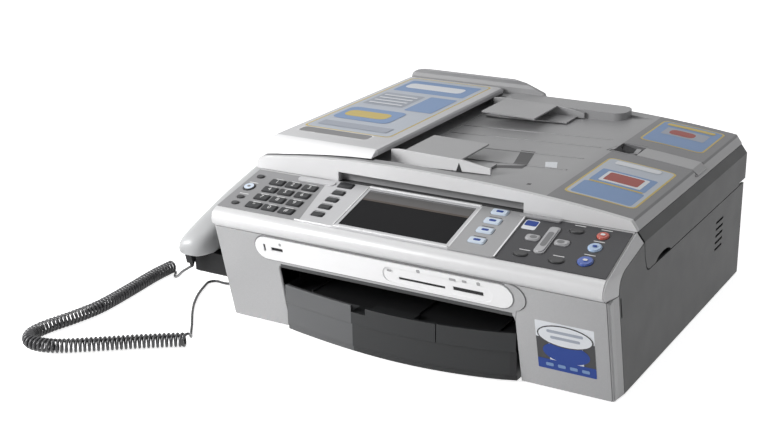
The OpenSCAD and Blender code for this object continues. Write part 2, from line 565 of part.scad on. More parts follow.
module document_cover() color(mid_grey) place() {
  difference() {
    union() {
      along_y(lid_outline, scan_front - 3, scan_back);
      // fixed ridge behind the feeder cover, and the rounded block behind the guides
      intersection() {
        along_y(concat([[6, 150], [8, 171]], arc(28, 170, 20, 7, 150, 90, 4),
                       [[136, 177], [150, 173.5], [172, 165], [182, 150]]), feeder_y1 + 1.4, body_d);
        along_x([[feeder_y1 + 1.4, 150], [feeder_y1 + 1.4, 168.6], [feeder_y1 + 3.5, 172],
                 [scan_back, 176], [body_d - 2, 177.5], [body_d, 174], [body_d, 166],
                 [scan_back - 1, 150]], 0, 190);
      }
      translate([0, 0, 150]) tile(sink_x0 + 12, block_y0, 277, scan_back - 1, 12, 13);
    }
    // inside of the shell, leaving the walls of the sunk tray
    difference() {
      along_y(lid_inside, scan_front + 7, scan_back - 3);
      along_y([[sink_x0 - 3, 130], [sink_x0 - 3, 190], [sink_x1 + 7, 190], [sink_x1 + 3, crown(sink_x1) - 3],
               [sink_x0, sink_z0 - 3], [sink_x0 - 1, 130]], sink_y0 - 3, sink_y1 + 3);
      translate([0, 0, 148]) tile(sink_x0 + 10, block_y0 - 2, 279, scan_back - 1, 12, 20);
      along_y([[0, 130], [0, 150.3], [sink_x0, 150.3], [sink_x0, 147.3], [10, 147.3], [10, 130]], 70, 370);
      along_y([[flap_x0 - 26, 130], [flap_x0 - 26, 170], [body_w, 170], [body_w, 130]], flap_y0 - 4, flap_y1 + 4);
    }
    // shallow pocket for the white pad
    translate([10, scan_front + 5.5, lid_z - 1]) cube([body_w - 20.5, scan_back - scan_front - 11, 3.5]);
    // sunk tray, open towards the feeder
    difference() {
      along_y(sink_outline, sink_y0, sink_y1);
      translate([0, 0, 140]) tile(sink_x0 + 12, block_y0, 277, scan_back - 1, 12, 40);
    }
    // chamber for the feed rollers under the feeder cover
    translate([8, feeder_y0 + 4, 150.4]) cube([sink_x0 - 7, feeder_y1 - feeder_y0 - 8, 30]);
    // finger recess along the front edge, behind the display
    along_x(concat([[scan_front - 5, lid_z - 2], [scan_front - 5, lid_z + 9.4]],
      arc(scan_front - 4, lid_z + 1, 9.2, 8.4, 90, 0, 6), [[scan_front + 5.2, lid_z - 2]]), 95, 287);
    translate([flap_pivot[0], 0, flap_pivot[1]]) rod_y(flap_y0 - 4, flap_y1 + 4, 0.85, 20);
    // bay for the fold-out document stop
    along_y(concat([[flap_x0 - 24, crown(flap_x0) - 5]],
      [[body_w - 17, crown(378) - 4.6], [body_w - 9.6, lid_z + 3.4], [body_w, lid_z + 1.6],
       [body_w, 175], [flap_x0 - 24, 175]]), flap_y0 - 0.6, flap_y1 + 0.6);
  }
  // barrels of its own hinge, and the lugs of the feeder cover's hinge
  for (x = lid_hinges) difference() {
    union() {
      translate([0, lid_hinge_y, lid_hinge_z]) rod_x(x - 9.6, x + 9.6, 2);
      translate([x - 9.6, scan_back - 2, lid_z]) cube([19.2, 4, 1.8]);
    }
    translate([0, lid_hinge_y, lid_hinge_z]) rod_x(x - 11, x + 11, 1.1, 24);
  }
  for (y = feeder_hinges) difference() {
    union() {
      translate([feeder_hinge_x, 0, feeder_hinge_z]) rod_y(y - 3.6, y + 3.6, 2.2);
      translate([feeder_hinge_x - 1.8, y - 3.6, 147.5]) cube([4, 7.2, 5.5]);
    }
    translate([feeder_hinge_x, 0, feeder_hinge_z]) rod_y(y - 5, y + 5, 1.2, 24);
  }
  // ribs on the floor of the sunk tray
  for (y = [150, 190, 232, 262])
    along_y([[sink_x0 + 2, sink_z0 - 0.5], [sink_x0 + 2, sink_z0 + 0.8], [292, 156.4], [292, 154.5]],
            y, y + 1.6);
  // bearings of the feed roller
  for (y = [feeder_y0 + 20, feeder_y1 - 28]) difference() {
    translate([75, y, 149.8]) cube([12, 6, 10.6]);
    translate([81, 0, roller_z]) rod_y(y - 1, y + 7, 2.06);
  }
}

module platen_pad() color("white") place() {
  translate([10.5, scan_front + 6, lid_z + 0.5]) cube([body_w - 21.5, scan_back - scan_front - 12, 2]);
  translate([glass_x0 - 2, glass_y0 - 2, lid_z + 0.05])
    cube([glass_x1 - glass_x0 + 4, glass_y1 - glass_y0 + 4, 0.6]);
}

// Document feeder cover, hinged along its left edge
adf_steps = [5, 20, 45, 75, 100, 124.5];
module adf_cover() color(pale) place() {
  difference() {
    adf_shell();
    for (y = feeder_hinges) translate([1, y - 5, 149]) cube([8.4, 10, 8.6]);
  }
  for (y = feeder_hinges) translate([feeder_hinge_x, 0, feeder_hinge_z]) rod_y(y - 6.5, y + 6.5, 1.1, 24);
}
module adf_shell() difference() {
  intersection() {
    along_y(concat([[2.8, 152.6]], arc(11, 158, 8.4, 10, 172, 92, 6),
      [[119, feeder_top], [123.4, feeder_top - 1], [124.5, feeder_top - 3]],
      [for (i = [len(adf_steps) - 1 : -1 : 0]) [adf_steps[i], crown(adf_steps[i]) + 1]]),
      feeder_y0, feeder_y1);
    along_x(concat([[feeder_y0, 150]], arc(98, 152, 22, 16, 172, 90, 7),
      [[feeder_y1 - 4, feeder_top], [feeder_y1, feeder_top - 3], [feeder_y1, 150]]), 0, 130);
  }
  // hollow under the top
  intersection() {
    along_y([[5, 140], [5, 158], [9, 163.5], [14, feeder_top - 2.4], [119, feeder_top - 2.4],
             [122, feeder_top - 4], [122, 140]], feeder_y0 + 3, feeder_y1 - 2.4);
    along_x([[feeder_y0 + 3, 140], [feeder_y0 + 4, 156], [84, 161], [100, feeder_top - 2.4],
             [feeder_y1, feeder_top - 2.4], [feeder_y1, 140]], 0, 130);
  }
}

module adf_feed_roller() color(dark_grey) place() translate([81, 0, roller_z]) {
  rod_y(feeder_y0 + 18, feeder_y1 - 18, 2);
  for (y = [150, 205, 260]) rod_y(y, y + 22, 6.6, 48);
}

// Guides that square the sheets: a low wall with a plate that reaches over the stack
guide_x0 = 130;
guide_x1 = 235;
function floor_at(x) = sink_z0 + (x - sink_x0) * (crown(sink_x1) - sink_z0) / (sink_x1 - sink_x0);
module guide(wall_y, dir) {
  y0 = dir > 0 ? wall_y : wall_y - 3;
  along_y([[guide_x0, floor_at(guide_x0) + 1], [guide_x1, floor_at(guide_x1) + 1],
           [guide_x1, 160.3], [205, 164.4], [guide_x0 + 8, 165.6], [guide_x0, 164.6]], y0, y0 + 3);
  plate_y0 = dir > 0 ? wall_y + 2.5 : wall_y - 60;
  plate_y1 = dir > 0 ? wall_y + 60 : wall_y - 2.5;
  along_y([[144, 163.7], [144, 165.2], [204, 164.4], [204, 162.9]], plate_y0, plate_y1);
  foot_y0 = dir > 0 ? wall_y + 2.5 : wall_y - 30;
  along_y([[guide_x0 + 4, floor_at(guide_x0 + 4) + 1], [guide_x1 - 8, floor_at(guide_x1 - 8) + 1],
           [guide_x1 - 8, floor_at(guide_x1 - 8) + 2.4], [guide_x0 + 4, floor_at(guide_x0 + 4) + 2.4]],
          foot_y0, foot_y0 + 27.5);
}
module adf_guide_front() color(silver) place() guide(108, 1);
module adf_guide_rear() color(silver) place() guide(331, -1);

module output_flap() color(silver) place() {
  along_y(concat([for (x = [flap_x0, 350, 366, 378, 385]) [x, crown(x) + 0.2]],
    [[body_w - 7.6, lid_z + 5], [body_w - 9, lid_z + 4.4], [382, crown(382) - 2.6],
     [366, crown(366) - 2.2], [flap_x0, crown(flap_x0) - 2.4]]), flap_y0, flap_y1);
  translate([flap_pivot[0], 0, flap_pivot[1]]) {
    rod_y(flap_y0, flap_y1, 1.2, 24);
    rod_y(flap_y0 - 3, flap_y1 + 3, 0.75, 20);
  }
}

// ---------------------------------------------------------------- paper tray
tray_x0 = mouth_x0 + 2;
tray_x1 = mouth_x1 - 2.5;
tray_top = 30.6;
tray_back = 300;
bow = 17;                            // how far the tray front bows out
bow_y = 13;                          // where its left end stands, the right one 3.5 deeper
// Front edge of the tray at x, for a full bow whose middle lies right of centre
function tray_front(x, y_end) = let (u = min(1, max(0, (x - tray_x0) / (tray_x1 - tray_x0))))
  y_end + 3.5 * u - bow * pow(sin(180 * pow(u, 1.15)), 0.8);
tray_steps = 18;
function tray_plan(y_end, inset, back) = concat(
  [for (i = [0:tray_steps]) let (x = tray_x0 + inset + (tray_x1 - tray_x0 - 2 * inset) * i / tray_steps)
    [x, tray_front(x, y_end) + inset]],
  [[tray_x1 - inset, back], [tray_x0 + inset, back]]);
module tray_block(z0, z1, y_end, inset, back)
  translate([0, 0, z0]) linear_extrude(z1 - z0) polygon(tray_plan(y_end, inset, back));

module paper_tray() color(charcoal) place() {
  difference() {
    union() {
      tray_block(2.6, tray_top, bow_y, 0, 41);
      translate([tray_x0, 40, 7]) cube([tray_x1 - tray_x0, tray_back - 40, tray_top - 7]);
    }
    tray_block(9.4, tray_top + 1, bow_y, 3, 50);
    translate([tray_x0 + 2.4, 40, 9.4]) cube([tray_x1 - tray_x0 - 4.8, tray_back - 43, 40]);
    // step along the foot of the front
    difference() {
      tray_block(1, 8, bow_y - 2, 0, 41);
      tray_block(0, 9, bow_y + 1.6, 0, 42);
    }
  }
  // paper side stops
  for (x = [tray_x0 + 12, tray_x1 - 14]) translate([x, 110, 9.2]) cube([2, 70, 16]);
}

module tray_cover() color(charcoal) place() {
  difference() {
    union() {
      tray_block(tray_top + 0.7, 49, bow_y - 2, 0, 44);
      translate([tray_x0, 40, tray_top + 0.7]) cube([tray_x1 - tray_x0, 190, 18.3]);
    }
    // hollow of the output bin, shallow with raised sides
    tray_block(42.5, 60, bow_y - 2, 3, 50);
    translate([tray_x0 + 3, 40, 42.5]) cube([tray_x1 - tray_x0 - 6, 200, 20]);
    tray_block(tray_top - 1, 38, bow_y - 2, 3, 50);
    translate([tray_x0 + 3, 40, tray_top - 1]) cube([tray_x1 - tray_x0 - 6, 188, 8.4]);
    // grooves that mark off the middle of the front, and the cut-out behind it
    for (x = [stop_x0, stop_x1]) translate([x, -20, tray_top]) cube([0.9, 20, 20]);
    translate([150, -20, 42.6]) cube([16, 34, 20]);
  }
  // stop for the printed sheets, folded down behind the middle of the front
  translate([168, 3.5, 42]) cube([44, 13, 4.4]);
  translate([172, 15, 42]) cube([36, 40, 2]);
  // ribs along the floor of the bin
  for (x = [92, 286]) translate([x, 22, 42]) cube([1.6, 190, 2]);
}
stop_x0 = 119;
stop_x1 = 237;

// ------------------------------------------------------------ print mechanism
module print_frame() color([0.62, 0.63, 0.64]) place() {
  for (x = [mouth_x0 - 12, mouth_x1 + 7]) difference() {
    along_x([[128, 55], [134, 69], [257, 69], [257, case_z + 4], [240, case_z + 4], [234, 50]], x, x + 2);
    translate([0, 150, 62]) rod_x(x - 1, x + 3, 3.06);
    translate([0, 205, 62]) rod_x(x - 1, x + 3, 3.06);
  }
  translate([30, 256, 53.7]) cube([340, 2, 38.3]);
  for (x = [30, 368]) translate([x, 165, 62]) cube([2, 93, 30]);
  translate([0, 190, 82]) rod_x(30, 370, 3.5, 48);
}
module feed_roller() color(black) place() translate([0, 205, 62]) {
  rod_x(mouth_x0 - 14, mouth_x1 + 11, 3);
  for (x = [96 : 42 : 270]) rod_x(x, x + 18, 6, 48);
}
module exit_roller() color(black) place() translate([0, 150, 62]) {
  rod_x(mouth_x0 - 14, mouth_x1 + 11, 3);
  for (x = [96 : 42 : 270]) rod_x(x, x + 12, 5.4, 48);
}
module print_carriage() color(dark_grey) place() difference() {
  union() {
    translate([318, 160, 72]) cube([46, 62, 22]);
    translate([322, 164, 70.5]) cube([38, 30, 3]);
  }
  translate([0, 190, 82]) rod_x(316, 366, 3.56);
}
module ink_cartridges() place() for (i = [0:3])
  color([[0.1, 0.1, 0.1], [0.9, 0.8, 0.2], [0.2, 0.6, 0.8], [0.8, 0.2, 0.5]][i])
    translate([321 + i * 17, 52, case_z + 4]) {
      cube([14, 54, 64]);
      translate([4, -6, 40]) cube([6, 6.5, 12]);
    }
module main_board() color("darkgreen") place() {
  translate([12, 128, 12]) cube([1.8, 200, 74]);
  for (p = [[150, 30, 30, 18], [200, 24, 22, 30], [240, 50, 40, 24], [296, 20, 22, 22]])
    translate([13.6, p[0], p[1]]) cube([8, p[2], p[3]]);
  for (y = [160 : 14 : 216]) translate([13.5, y, 76]) rotate([0, 90, 0]) cylinder(h = 12, r = 4, $fn = 24);
  for (y = [140, 300]) translate([11, y, case_z + 4]) cube([3.8, 8, 8]);
}
module rear_sockets() color(black) place() difference() {
  union() {
    translate([330.4, case_back - wall - 14, 12.4]) cube([39.2, wall + 14.2, 25.2]);
    translate([327, case_back - wall - 2.5, 8.5]) cube([46, 2.4, 33]);
  }
  translate([333, case_back - 12, 15]) cube([20, 20, 14]);
  translate([356, case_back - 9, 22]) cube([11, 20, 8]);
  translate([356, case_back - 9, 13]) cube([11, 20, 7]);
}
module rear_cover() color(charcoal) place() {
  difference() {
    translate([70.6, case_back - wall, 30.6]) cube([238.8, wall, 50.8]);
    for (x = [100 : 30 : 290]) translate([x - 8, case_back - 0.8, 60]) cube([16, 2, 1.4]);
    translate([170, case_back - 1.2, 70]) cube([40, 3, 7]);
  }
  for (x = [90, 280]) translate([x, case_back - 8, 34]) cube([5, 6, 6]);
  for (x = [67, 308]) translate([0, jam_y, jam_z]) rod_x(x, x + 5, 0.9, 20);
}

// --------------------------------------------------------------------- handset
handset_at = [30, 50];               // Y and Z of the handset's front end

hook_x = -51.4;                       // place of the hook switch under the ear pad
hook_u = 178;
module on_handset() translate([0, handset_at[0], handset_at[1]]) rotate([handset_slope, 0, 0])
  children();

// Stations along the handset, from its mouth end: distance, half width, rise and drop
// of the section, height of its middle, and X of its middle
handset_stations = [
  [-6.5, 6, 4.5, 2.5, 7.5, -57.8], [-5.5, 9.5, 7.3, 5, 7.5, -56.8], [-2.5, 13, 10.3, 7.5, 7.8, -55],
  [3.5, 16, 13.2, 9.6, 8, -53.3], [12, 17.6, 15.2, 12.4, 8.2, -52], [22, 18.2, 16.3, 14, 8.4, -51.6],
  [42, 18.6, 17.4, 14.4, 9.2, -51.4], [62, 18.5, 17.6, 9.6, 10.6, -51.4],
  [84, 18.3, 17.4, 6, 11.6, -51.4], [104, 18.2, 17, 5, 12, -51.4],
  [124, 18.3, 17.4, 6, 11.6, -51.4], [146, 18.5, 17.6, 9.6, 10.6, -51.4],
  [166, 18.6, 17.2, 14.4, 9.2, -51.4], [188, 18.2, 15.6, 14, 8.4, -51.4],
  [197, 17, 13.8, 11.4, 8, -51.4], [203, 14.5, 11.2, 9, 7.6, -51.4], [206.5, 10.5, 8, 6, 7.4, -51.4],
  [208, 6.5, 4.6, 3, 7.4, -51.4]];
function bulge(t, e) = sign(t) * pow(abs(t), e);
handset_sides = 24;
function handset_ring(s) = [for (k = [0 : handset_sides - 1]) let (t = 360 * k / handset_sides)
  sin(t) > 0 ? [s[5] + s[1] * bulge(cos(t), 0.87), s[0], s[4] + s[2] * bulge(sin(t), 0.87)]
    : [s[5] + s[1] * bulge(cos(t), 0.68), s[0], max(-4, s[4] + s[3] * bulge(sin(t), 0.68))]];

// A round-backed shell, lofted through its stations, flat under the two pads
module handset_loft() {
  n = handset_sides;
  last = len(handset_stations) - 1;
  polyhedron(points = [for (s = handset_stations) each handset_ring(s)],
    faces = concat([[for (k = [n - 1 : -1 : 0]) k]], [[for (k = [0 : n - 1]) last * n + k]],
      [for (i = [0 : last - 1], k = [0 : n - 1]) let (m = (k + 1) % n)
        each [[i * n + k, i * n + m, (i + 1) * n + m], [i * n + k, (i + 1) * n + m, (i + 1) * n + k]]]));
}

module handset_shell() color(pale) place() on_handset() difference() {
  handset_loft();
  // pockets for the face pieces
  for (v = [32, 178]) translate([-51.4, v, -5]) cylinder(h = 2.9, r = 11.1, $fn = 48);
  // socket for the lead
  translate([-65.2, -1.4, -9]) cube([8.4, 6.8, 12.4]);
}
module handset_face() color(dark_grey) place() on_handset() for (v = [32, 178]) difference() {
  translate([-51.4, v, -4.4]) cylinder(h = 2.3, r = 10.8, $fn = 48);
  for (a = [0:45:315])
    translate([-51.4 + 5.4 * cos(a), v + 5.4 * sin(a), -5]) cylinder(h = 1.6, r = 0.9, $fn = 16);
}
module handset_plug() color(black) place() on_handset() {
  translate([-64.8, -1, -11]) cube([7.6, 6, 14]);
}

// Cradle: a hollow bracket on the left wall that follows the slope of the handset
cradle_side = [[45.6, 27], [51, 23.5], [196, 23.5], [244, 52], [246, 99.4], [238.6, 98.8], [238.2, 97.2],
  [44.7, 49]];
module handset_cradle() color(black) place() {
  difference() {
    along_x(cradle_side, -65, 0);
    along_x([[50, 15], [50, 47.4], [236, 93.8], [241, 54], [194, 26], [194, 15]], -62.5, -2.5);
    on_handset() translate([hook_x, hook_u, -12]) cylinder(h = 12, r = 4.5, $fn = 48);
  }
  // side cheeks beside the two pads and the hollow grip between them
  on_handset() for (v = [[18, 54], [160, 204]]) {
    translate([-31.6, v[0], -12]) cube([3, v[1] - v[0], 14]);
  }
  on_handset() translate([-61, 62, -8.5]) cube([52, 8, 7.7]);
}
module hook_switch() color(dark_grey) place() on_handset() translate([hook_x, hook_u, 0]) {
  translate([0, 0, -14]) cylinder(h = 9.3, r = 4, $fn = 48);
  translate([0, 0, -15.4]) cylinder(h = 1.6, r = 6.5, $fn = 48);
}

// ----------------------------------------------------------------------- cords
// Routes are lists of points; each tube is swept along the curve through them
tail_d = 2.8;
coil_d = 14;
coil_route = [[-125, 80, 7.1], [-125, 49, 7.1], [-121, 2, 7.1], [-119, -40, 7.1], [-124, -73, 7.1],
  [-131, -102, 7.1], [-131, -122, 7.1], [-121, -134, 7.1], [-106, -135, 7.1], [-88, -128, 7.1],
  [-59, -107, 7.1], [-30, -85, 7.1], [-1, -65, 7.1], [8, -61, 7.1]];
handset_tail_route = [[-61, 34.7, 39.3], [-61.3, 35.3, 37], [-62.2, 36.1, 35.1],
  [-63.7, 36.9, 33.6], [-67, 37.9, 31.5], [-71.5, 39.3, 28.6], [-77.5, 41.5, 24.7],
  [-85, 46.1, 19.2], [-95, 53.6, 11.6], [-105, 61.2, 5.4], [-114, 68.6, 2.2], [-121, 75, 1.8],
  [-125, 80, 2.6]];
machine_tail_route = [[8, -61, 2.6], [10.8, -58.7, 2.2], [12.1, -55.3, 1.8], [11.6, -51.8, 1.6],
  [9.4, -49, 1.6], [4.6, -45.4, 1.6], [-1.5, -41.2, 1.6], [-8, -36, 1.6], [-20, -21, 1.6],
  [-36, 0, 1.6], [-49, 19, 1.6], [-59.5, 38, 1.6], [-65.6, 52, 1.6], [-68.8, 61, 1.6],
  [-71.5, 69, 1.6], [-72, 72.9, 1.6], [-70.4, 76.6, 1.6], [-67, 78.9, 1.6], [-62.9, 78.8, 1.8],
  [-57, 77.1, 2.3], [-50, 74.9, 3.6], [-42, 72.4, 5.8], [-28, 69.8, 10.2], [-16, 68.4, 13.4],
  [-8, 68, 14]];

// Point on the smooth curve through p between points i and i + 1, at u from 0 to 1
function through(p, i, u) = let (n = len(p) - 1,
  a = p[max(i - 1, 0)], b = p[i], c = p[min(i + 1, n)], d = p[min(i + 2, n)])
  0.5 * (2 * b + (c - a) * u + (2 * a - 5 * b + 4 * c - d) * u * u
         + (3 * b - a - 3 * c + d) * u * u * u);
function smooth(p, steps) = concat(
  [for (i = [0 : len(p) - 2], k = [0 : steps - 1]) through(p, i, k / steps)], [p[len(p) - 1]]);
function unit(v) = v / norm(v);
function heading(p, i) = unit(p[min(i + 1, len(p) - 1)] - p[max(i - 1, 0)]);
// Side directions that turn as little as possible from ring to ring
function sides(p, start) = [for (i = 0, s = unit(start - (start * heading(p, 0)) * heading(p, 0));
  i < len(p); i = i + 1,
  s = let (t = heading(p, min(i, len(p) - 1))) unit(s - (s * t) * t)) s];
module tube(route, d, start, steps) {
  p = smooth(route, steps);
  n = 8;
  s = sides(p, start);
  points = [for (i = [0 : len(p) - 1], k = [0 : n - 1]) let (b = cross(heading(p, i), s[i]))
    p[i] + d / 2 * (cos(360 * k / n) * s[i] + sin(360 * k / n) * b)];
  faces = concat([[for (k = [0 : n - 1]) k]],
    [for (i = [0 : len(p) - 2], k = [0 : n - 1]) let (k2 = (k + 1) % n)
      [i * n + k2, i * n + k, (i + 1) * n + k, (i + 1) * n + k2]],
    [[for (k = [n - 1 : -1 : 0]) (len(p) - 1) * n + k]]);
  polyhedron(points, faces, convexity = 6);
}
module curly_cord() color(black) place() tube(coil_route, coil_d, [1, 0, 0], 2);
module cord_handset_tail() color(black) place() tube(handset_tail_route, tail_d, [1, 0, 0], 2);
module cord_machine_tail() color(black) place() tube(machine_tail_route, tail_d, [1, 0, 0], 2);
module machine_plug() color(black) place() {
  translate([-8, 63.5, 9.8]) cube([7.9, 9, 8.4]);
}

base_pan();
body_case();
front_cover();
card_bezel();
control_panel();
key_fields();
centre_plate();
handset_cradle();
print_frame();
main_board();
ink_cartridges();
rubber_feet();
rear_sockets();
curly_cord();
cord_handset_tail();
cord_machine_tail();
machine_plug();
handset_plug();
handset_shell();
handset_face();
hook_switch();
ink_cover();
lcd_housing();
lcd_window();
scanner_frame();
scanner_glass();
scan_carriage();
document_cover();
platen_pad();
adf_cover();
adf_feed_roller();
adf_guide_front();
adf_guide_rear();
output_flap();
paper_tray();
tray_cover();
rear_cover();
print_carriage();
feed_roller();
exit_roller();
dial_key(0, 0);  // key_1
dial_key(1, 0);  // key_2
dial_key(2, 0);  // key_3
dial_key(0, 1);  // key_4
dial_key(1, 1);  // key_5
dial_key(2, 1);  // key_6
dial_key(0, 2);  // key_7
dial_key(1, 2);  // key_8
dial_key(2, 2);  // key_9
dial_key(0, 3);  // key_star
dial_key(1, 3);  // key_0
dial_key(2, 3);  // key_hash
stop_key();
colour_key();
mono_key();
nav_vertical();
nav_horizontal();
mode_keys();
one_touch_keys();
small_keys();
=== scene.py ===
"""The looks of a tabletop fax machine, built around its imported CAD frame.

Lengths are in millimetres of the machine's own coordinates (X = 0 at the left
wall, Y = 0 at the top edge of the front face, Z up) until at(), on_panel() or
on_front() turns them into the frame's metres.
"""
import math

import bpy
from mathutils import Matrix, Vector
from mathutils.bvhtree import BVHTree


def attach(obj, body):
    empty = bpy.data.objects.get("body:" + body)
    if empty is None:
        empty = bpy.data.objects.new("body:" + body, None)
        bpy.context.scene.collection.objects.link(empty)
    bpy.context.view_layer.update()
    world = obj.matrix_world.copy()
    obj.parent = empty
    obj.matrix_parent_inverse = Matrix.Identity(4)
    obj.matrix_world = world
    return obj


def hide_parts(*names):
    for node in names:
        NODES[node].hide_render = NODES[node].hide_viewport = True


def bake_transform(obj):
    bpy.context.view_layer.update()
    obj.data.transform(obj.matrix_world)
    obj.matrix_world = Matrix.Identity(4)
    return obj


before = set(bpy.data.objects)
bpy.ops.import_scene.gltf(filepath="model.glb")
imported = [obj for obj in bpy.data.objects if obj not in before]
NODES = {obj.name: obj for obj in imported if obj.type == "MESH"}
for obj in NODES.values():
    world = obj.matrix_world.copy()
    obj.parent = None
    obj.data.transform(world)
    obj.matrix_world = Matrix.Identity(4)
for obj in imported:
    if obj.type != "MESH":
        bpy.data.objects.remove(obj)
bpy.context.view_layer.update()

# ------------------------------------------------------------------ dimensions
MM = 0.001
MID_X, MID_Y = 164.0, 181.0        # middle of the footprint, handset included
FRONT_HEIGHT = 90                  # height over which the front leans
FRONT_SETBACK = 21.8               # how far its foot is set back over that height
LEAN = math.atan(FRONT_SETBACK / FRONT_HEIGHT)
PANEL_Z = 119.5                    # height of the panel's plane at Y = 0
PANEL_SLOPE = math.radians(14.8)
FAR = 1000.0                       # beyond every side of the machine


def at(x, y, z):
    """A point of the machine's coordinates in the frame's metres."""
    return Vector(((x - MID_X) * MM, (y - MID_Y) * MM, z * MM))


def on_panel(x, t, n):
    """A point t up the sloping control panel, n above it."""
    c, s = math.cos(PANEL_SLOPE), math.sin(PANEL_SLOPE)
    return at(x, t * c - n * s, PANEL_Z + t * s + n * c)


def on_front(x, s, n):
    """A point s up the leaning front face, n in front of it."""
    c, k = math.cos(LEAN), math.sin(LEAN)
    return at(x, FRONT_SETBACK - n * c - s * k, -n * k + s * c)


# ------------------------------------------------------------------- materials
MIX_A, MIX_B, MIX_OUT = 6, 7, 2    # places of a Mix node's colour sockets
ZONE_SOFTNESS = 0.25               # half the width of the edge between two zones
BEVEL_SAMPLES = 4                  # rays that find a rounded edge

MOTTLE_SCALE = 9.0                 # scales of the noises, in cycles per metre
SHEEN_SCALE = 38.0
GRAIN_SCALE = 1600.0
GRAIN_STRENGTH = 0.6
SHEEN_SPREAD = 0.05                # how far the roughness wanders each way
COAT_ROUGHNESS = 0.08

FLAKE_SCALE = 2600.0
FLAKE_TONES = (0.94, 1.05)         # darkest and lightest flake, times the colour
FLAKE_METAL = 0.25                 # how metallic the lacquer is
LACQUER_SHEEN_SCALE = 30.0
LACQUER_SPREAD = (-0.04, 0.05)     # how far its roughness wanders
LACQUER_GRAIN_SCALE = 1900.0
LACQUER_GRAIN_DEPTH = 0.012
LACQUER_GRAIN_STRENGTH = 0.5

GLASS_TINT = (0.86, 0.93, 0.92, 1)
GLASS_SHEEN_SCALE = 20.0
GLASS_ROUGHNESS = (0.02, 0.05)


class Shader:
    """A small helper that adds and links the nodes of one material."""

    def __init__(self, name):
        self.material = bpy.data.materials.new(name)
        self.material.use_nodes = True
        self.tree = self.material.node_tree
        self.bsdf = self.tree.nodes["Principled BSDF"]
        self.coords = self.add("ShaderNodeTexCoord").outputs["Object"]

    def add(self, kind, **values):
        """A new node with its properties set."""
        node = self.tree.nodes.new(kind)
        for key, value in values.items():
            setattr(node, key, value)
        return node

    def link(self, source, target):
        """Joins an output to an input."""
        self.tree.links.new(source, target)

    def noise(self, scale, detail=2.0):
        """Noise from 0 to 1 over the object's own coordinates."""
        node = self.add("ShaderNodeTexNoise")
        node.inputs["Scale"].default_value = scale
        node.inputs["Detail"].default_value = detail
        self.link(self.coords, node.inputs["Vector"])
        return node.outputs["Fac"]

    def spread(self, value, low, high):
        """value from 0..1 mapped to low..high."""
        node = self.add("ShaderNodeMapRange")
        node.inputs["To Min"].default_value = low
        node.inputs["To Max"].default_value = high
        self.link(value, node.inputs["Value"])
        return node.outputs["Result"]

    def mix(self, factor, a, b):
        """Colour a where factor is 0 and b where it is 1."""
        node = self.add("ShaderNodeMix", data_type="RGBA")
        self.link(factor, node.inputs["Factor"])
        for socket, value in ((node.inputs[MIX_A], a), (node.inputs[MIX_B], b)):
            if isinstance(value, (tuple, list)):
                socket.default_value = (*value[:3], 1.0)
            else:
                self.link(value, socket)
        return node.outputs[MIX_OUT]

    def between(self, axis, low, high):
        """1 where the machine's coordinate lies from low to high, and 0 elsewhere."""
        parts = self.add("ShaderNodeSeparateXYZ")
        self.link(self.coords, parts.inputs[0])
        shift = {"X": MID_X, "Y": MID_Y, "Z": 0.0}[axis]
        edges = []
        for edge, sign in ((low, 1), (high, -1)):
            soft = ZONE_SOFTNESS * sign
            ramp = self.add("ShaderNodeMapRange")
            ramp.inputs["From Min"].default_value = (edge - shift - soft) * MM
            ramp.inputs["From Max"].default_value = (edge - shift + soft) * MM
            self.link(parts.outputs[axis], ramp.inputs["Value"])
            edges.append(ramp.outputs["Result"])
        both = self.add("ShaderNodeMath", operation="MULTIPLY")
        self.link(edges[0], both.inputs[0])
        self.link(edges[1], both.inputs[1])
        return both.outputs[0]

    def set(self, **values):
        """Constant values on the shader's own sockets."""
        for key, value in values.items():
            self.bsdf.inputs[key.replace("_", " ")].default_value = value

    def relief(self, height, distance, strength, edge):
        """Bumps from a height value, over edges rounded by the radius edge."""
        bump = self.add("ShaderNodeBump")
        bump.inputs["Distance"].default_value = distance
        bump.inputs["Strength"].default_value = strength
        self.link(height, bump.inputs["Height"])
        if edge:
            bevel = self.add("ShaderNodeBevel", samples=BEVEL_SAMPLES)
            bevel.inputs["Radius"].default_value = edge
            self.link(bevel.outputs["Normal"], bump.inputs["Normal"])
        self.link(bump.outputs["Normal"], self.bsdf.inputs["Normal"])


def plastic(name, colour, rough, metallic=0.0, grain=GRAIN_SCALE, depth=0.03, mottle=0.05,
            edge=0.4, coat=0.0, specular=0.5, zones=()):
    """Moulded plastic: faint mottling, a fine grain and rounded edges.

    grain is the grain's scale, depth its height and edge the edges' radius. zones are
    (axis, low, high, colour) slabs of the machine with a colour of their own; several of
    them are painted shade and painted light.
    """
    s = Shader(name)
    broad = s.noise(MOTTLE_SCALE, detail=4.0)
    light = [min(1.0, c * (1 + mottle)) for c in colour]
    dark = [c * (1 - mottle) for c in colour]
    tone = s.mix(broad, dark, light)
    for axis, low, high, other in zones:
        tone = s.mix(s.between(axis, low, high), tone, other)
    s.link(tone, s.bsdf.inputs["Base Color"])
    sheen = s.spread(s.noise(SHEEN_SCALE, detail=3.0), rough - SHEEN_SPREAD,
                     rough + SHEEN_SPREAD)
    s.link(sheen, s.bsdf.inputs["Roughness"])
    s.set(Metallic=metallic, Specular_IOR_Level=specular)
    if coat:
        s.set(Coat_Weight=coat, Coat_Roughness=COAT_ROUGHNESS)
    s.relief(s.noise(grain), depth * MM, GRAIN_STRENGTH, edge * MM)
    return s.material


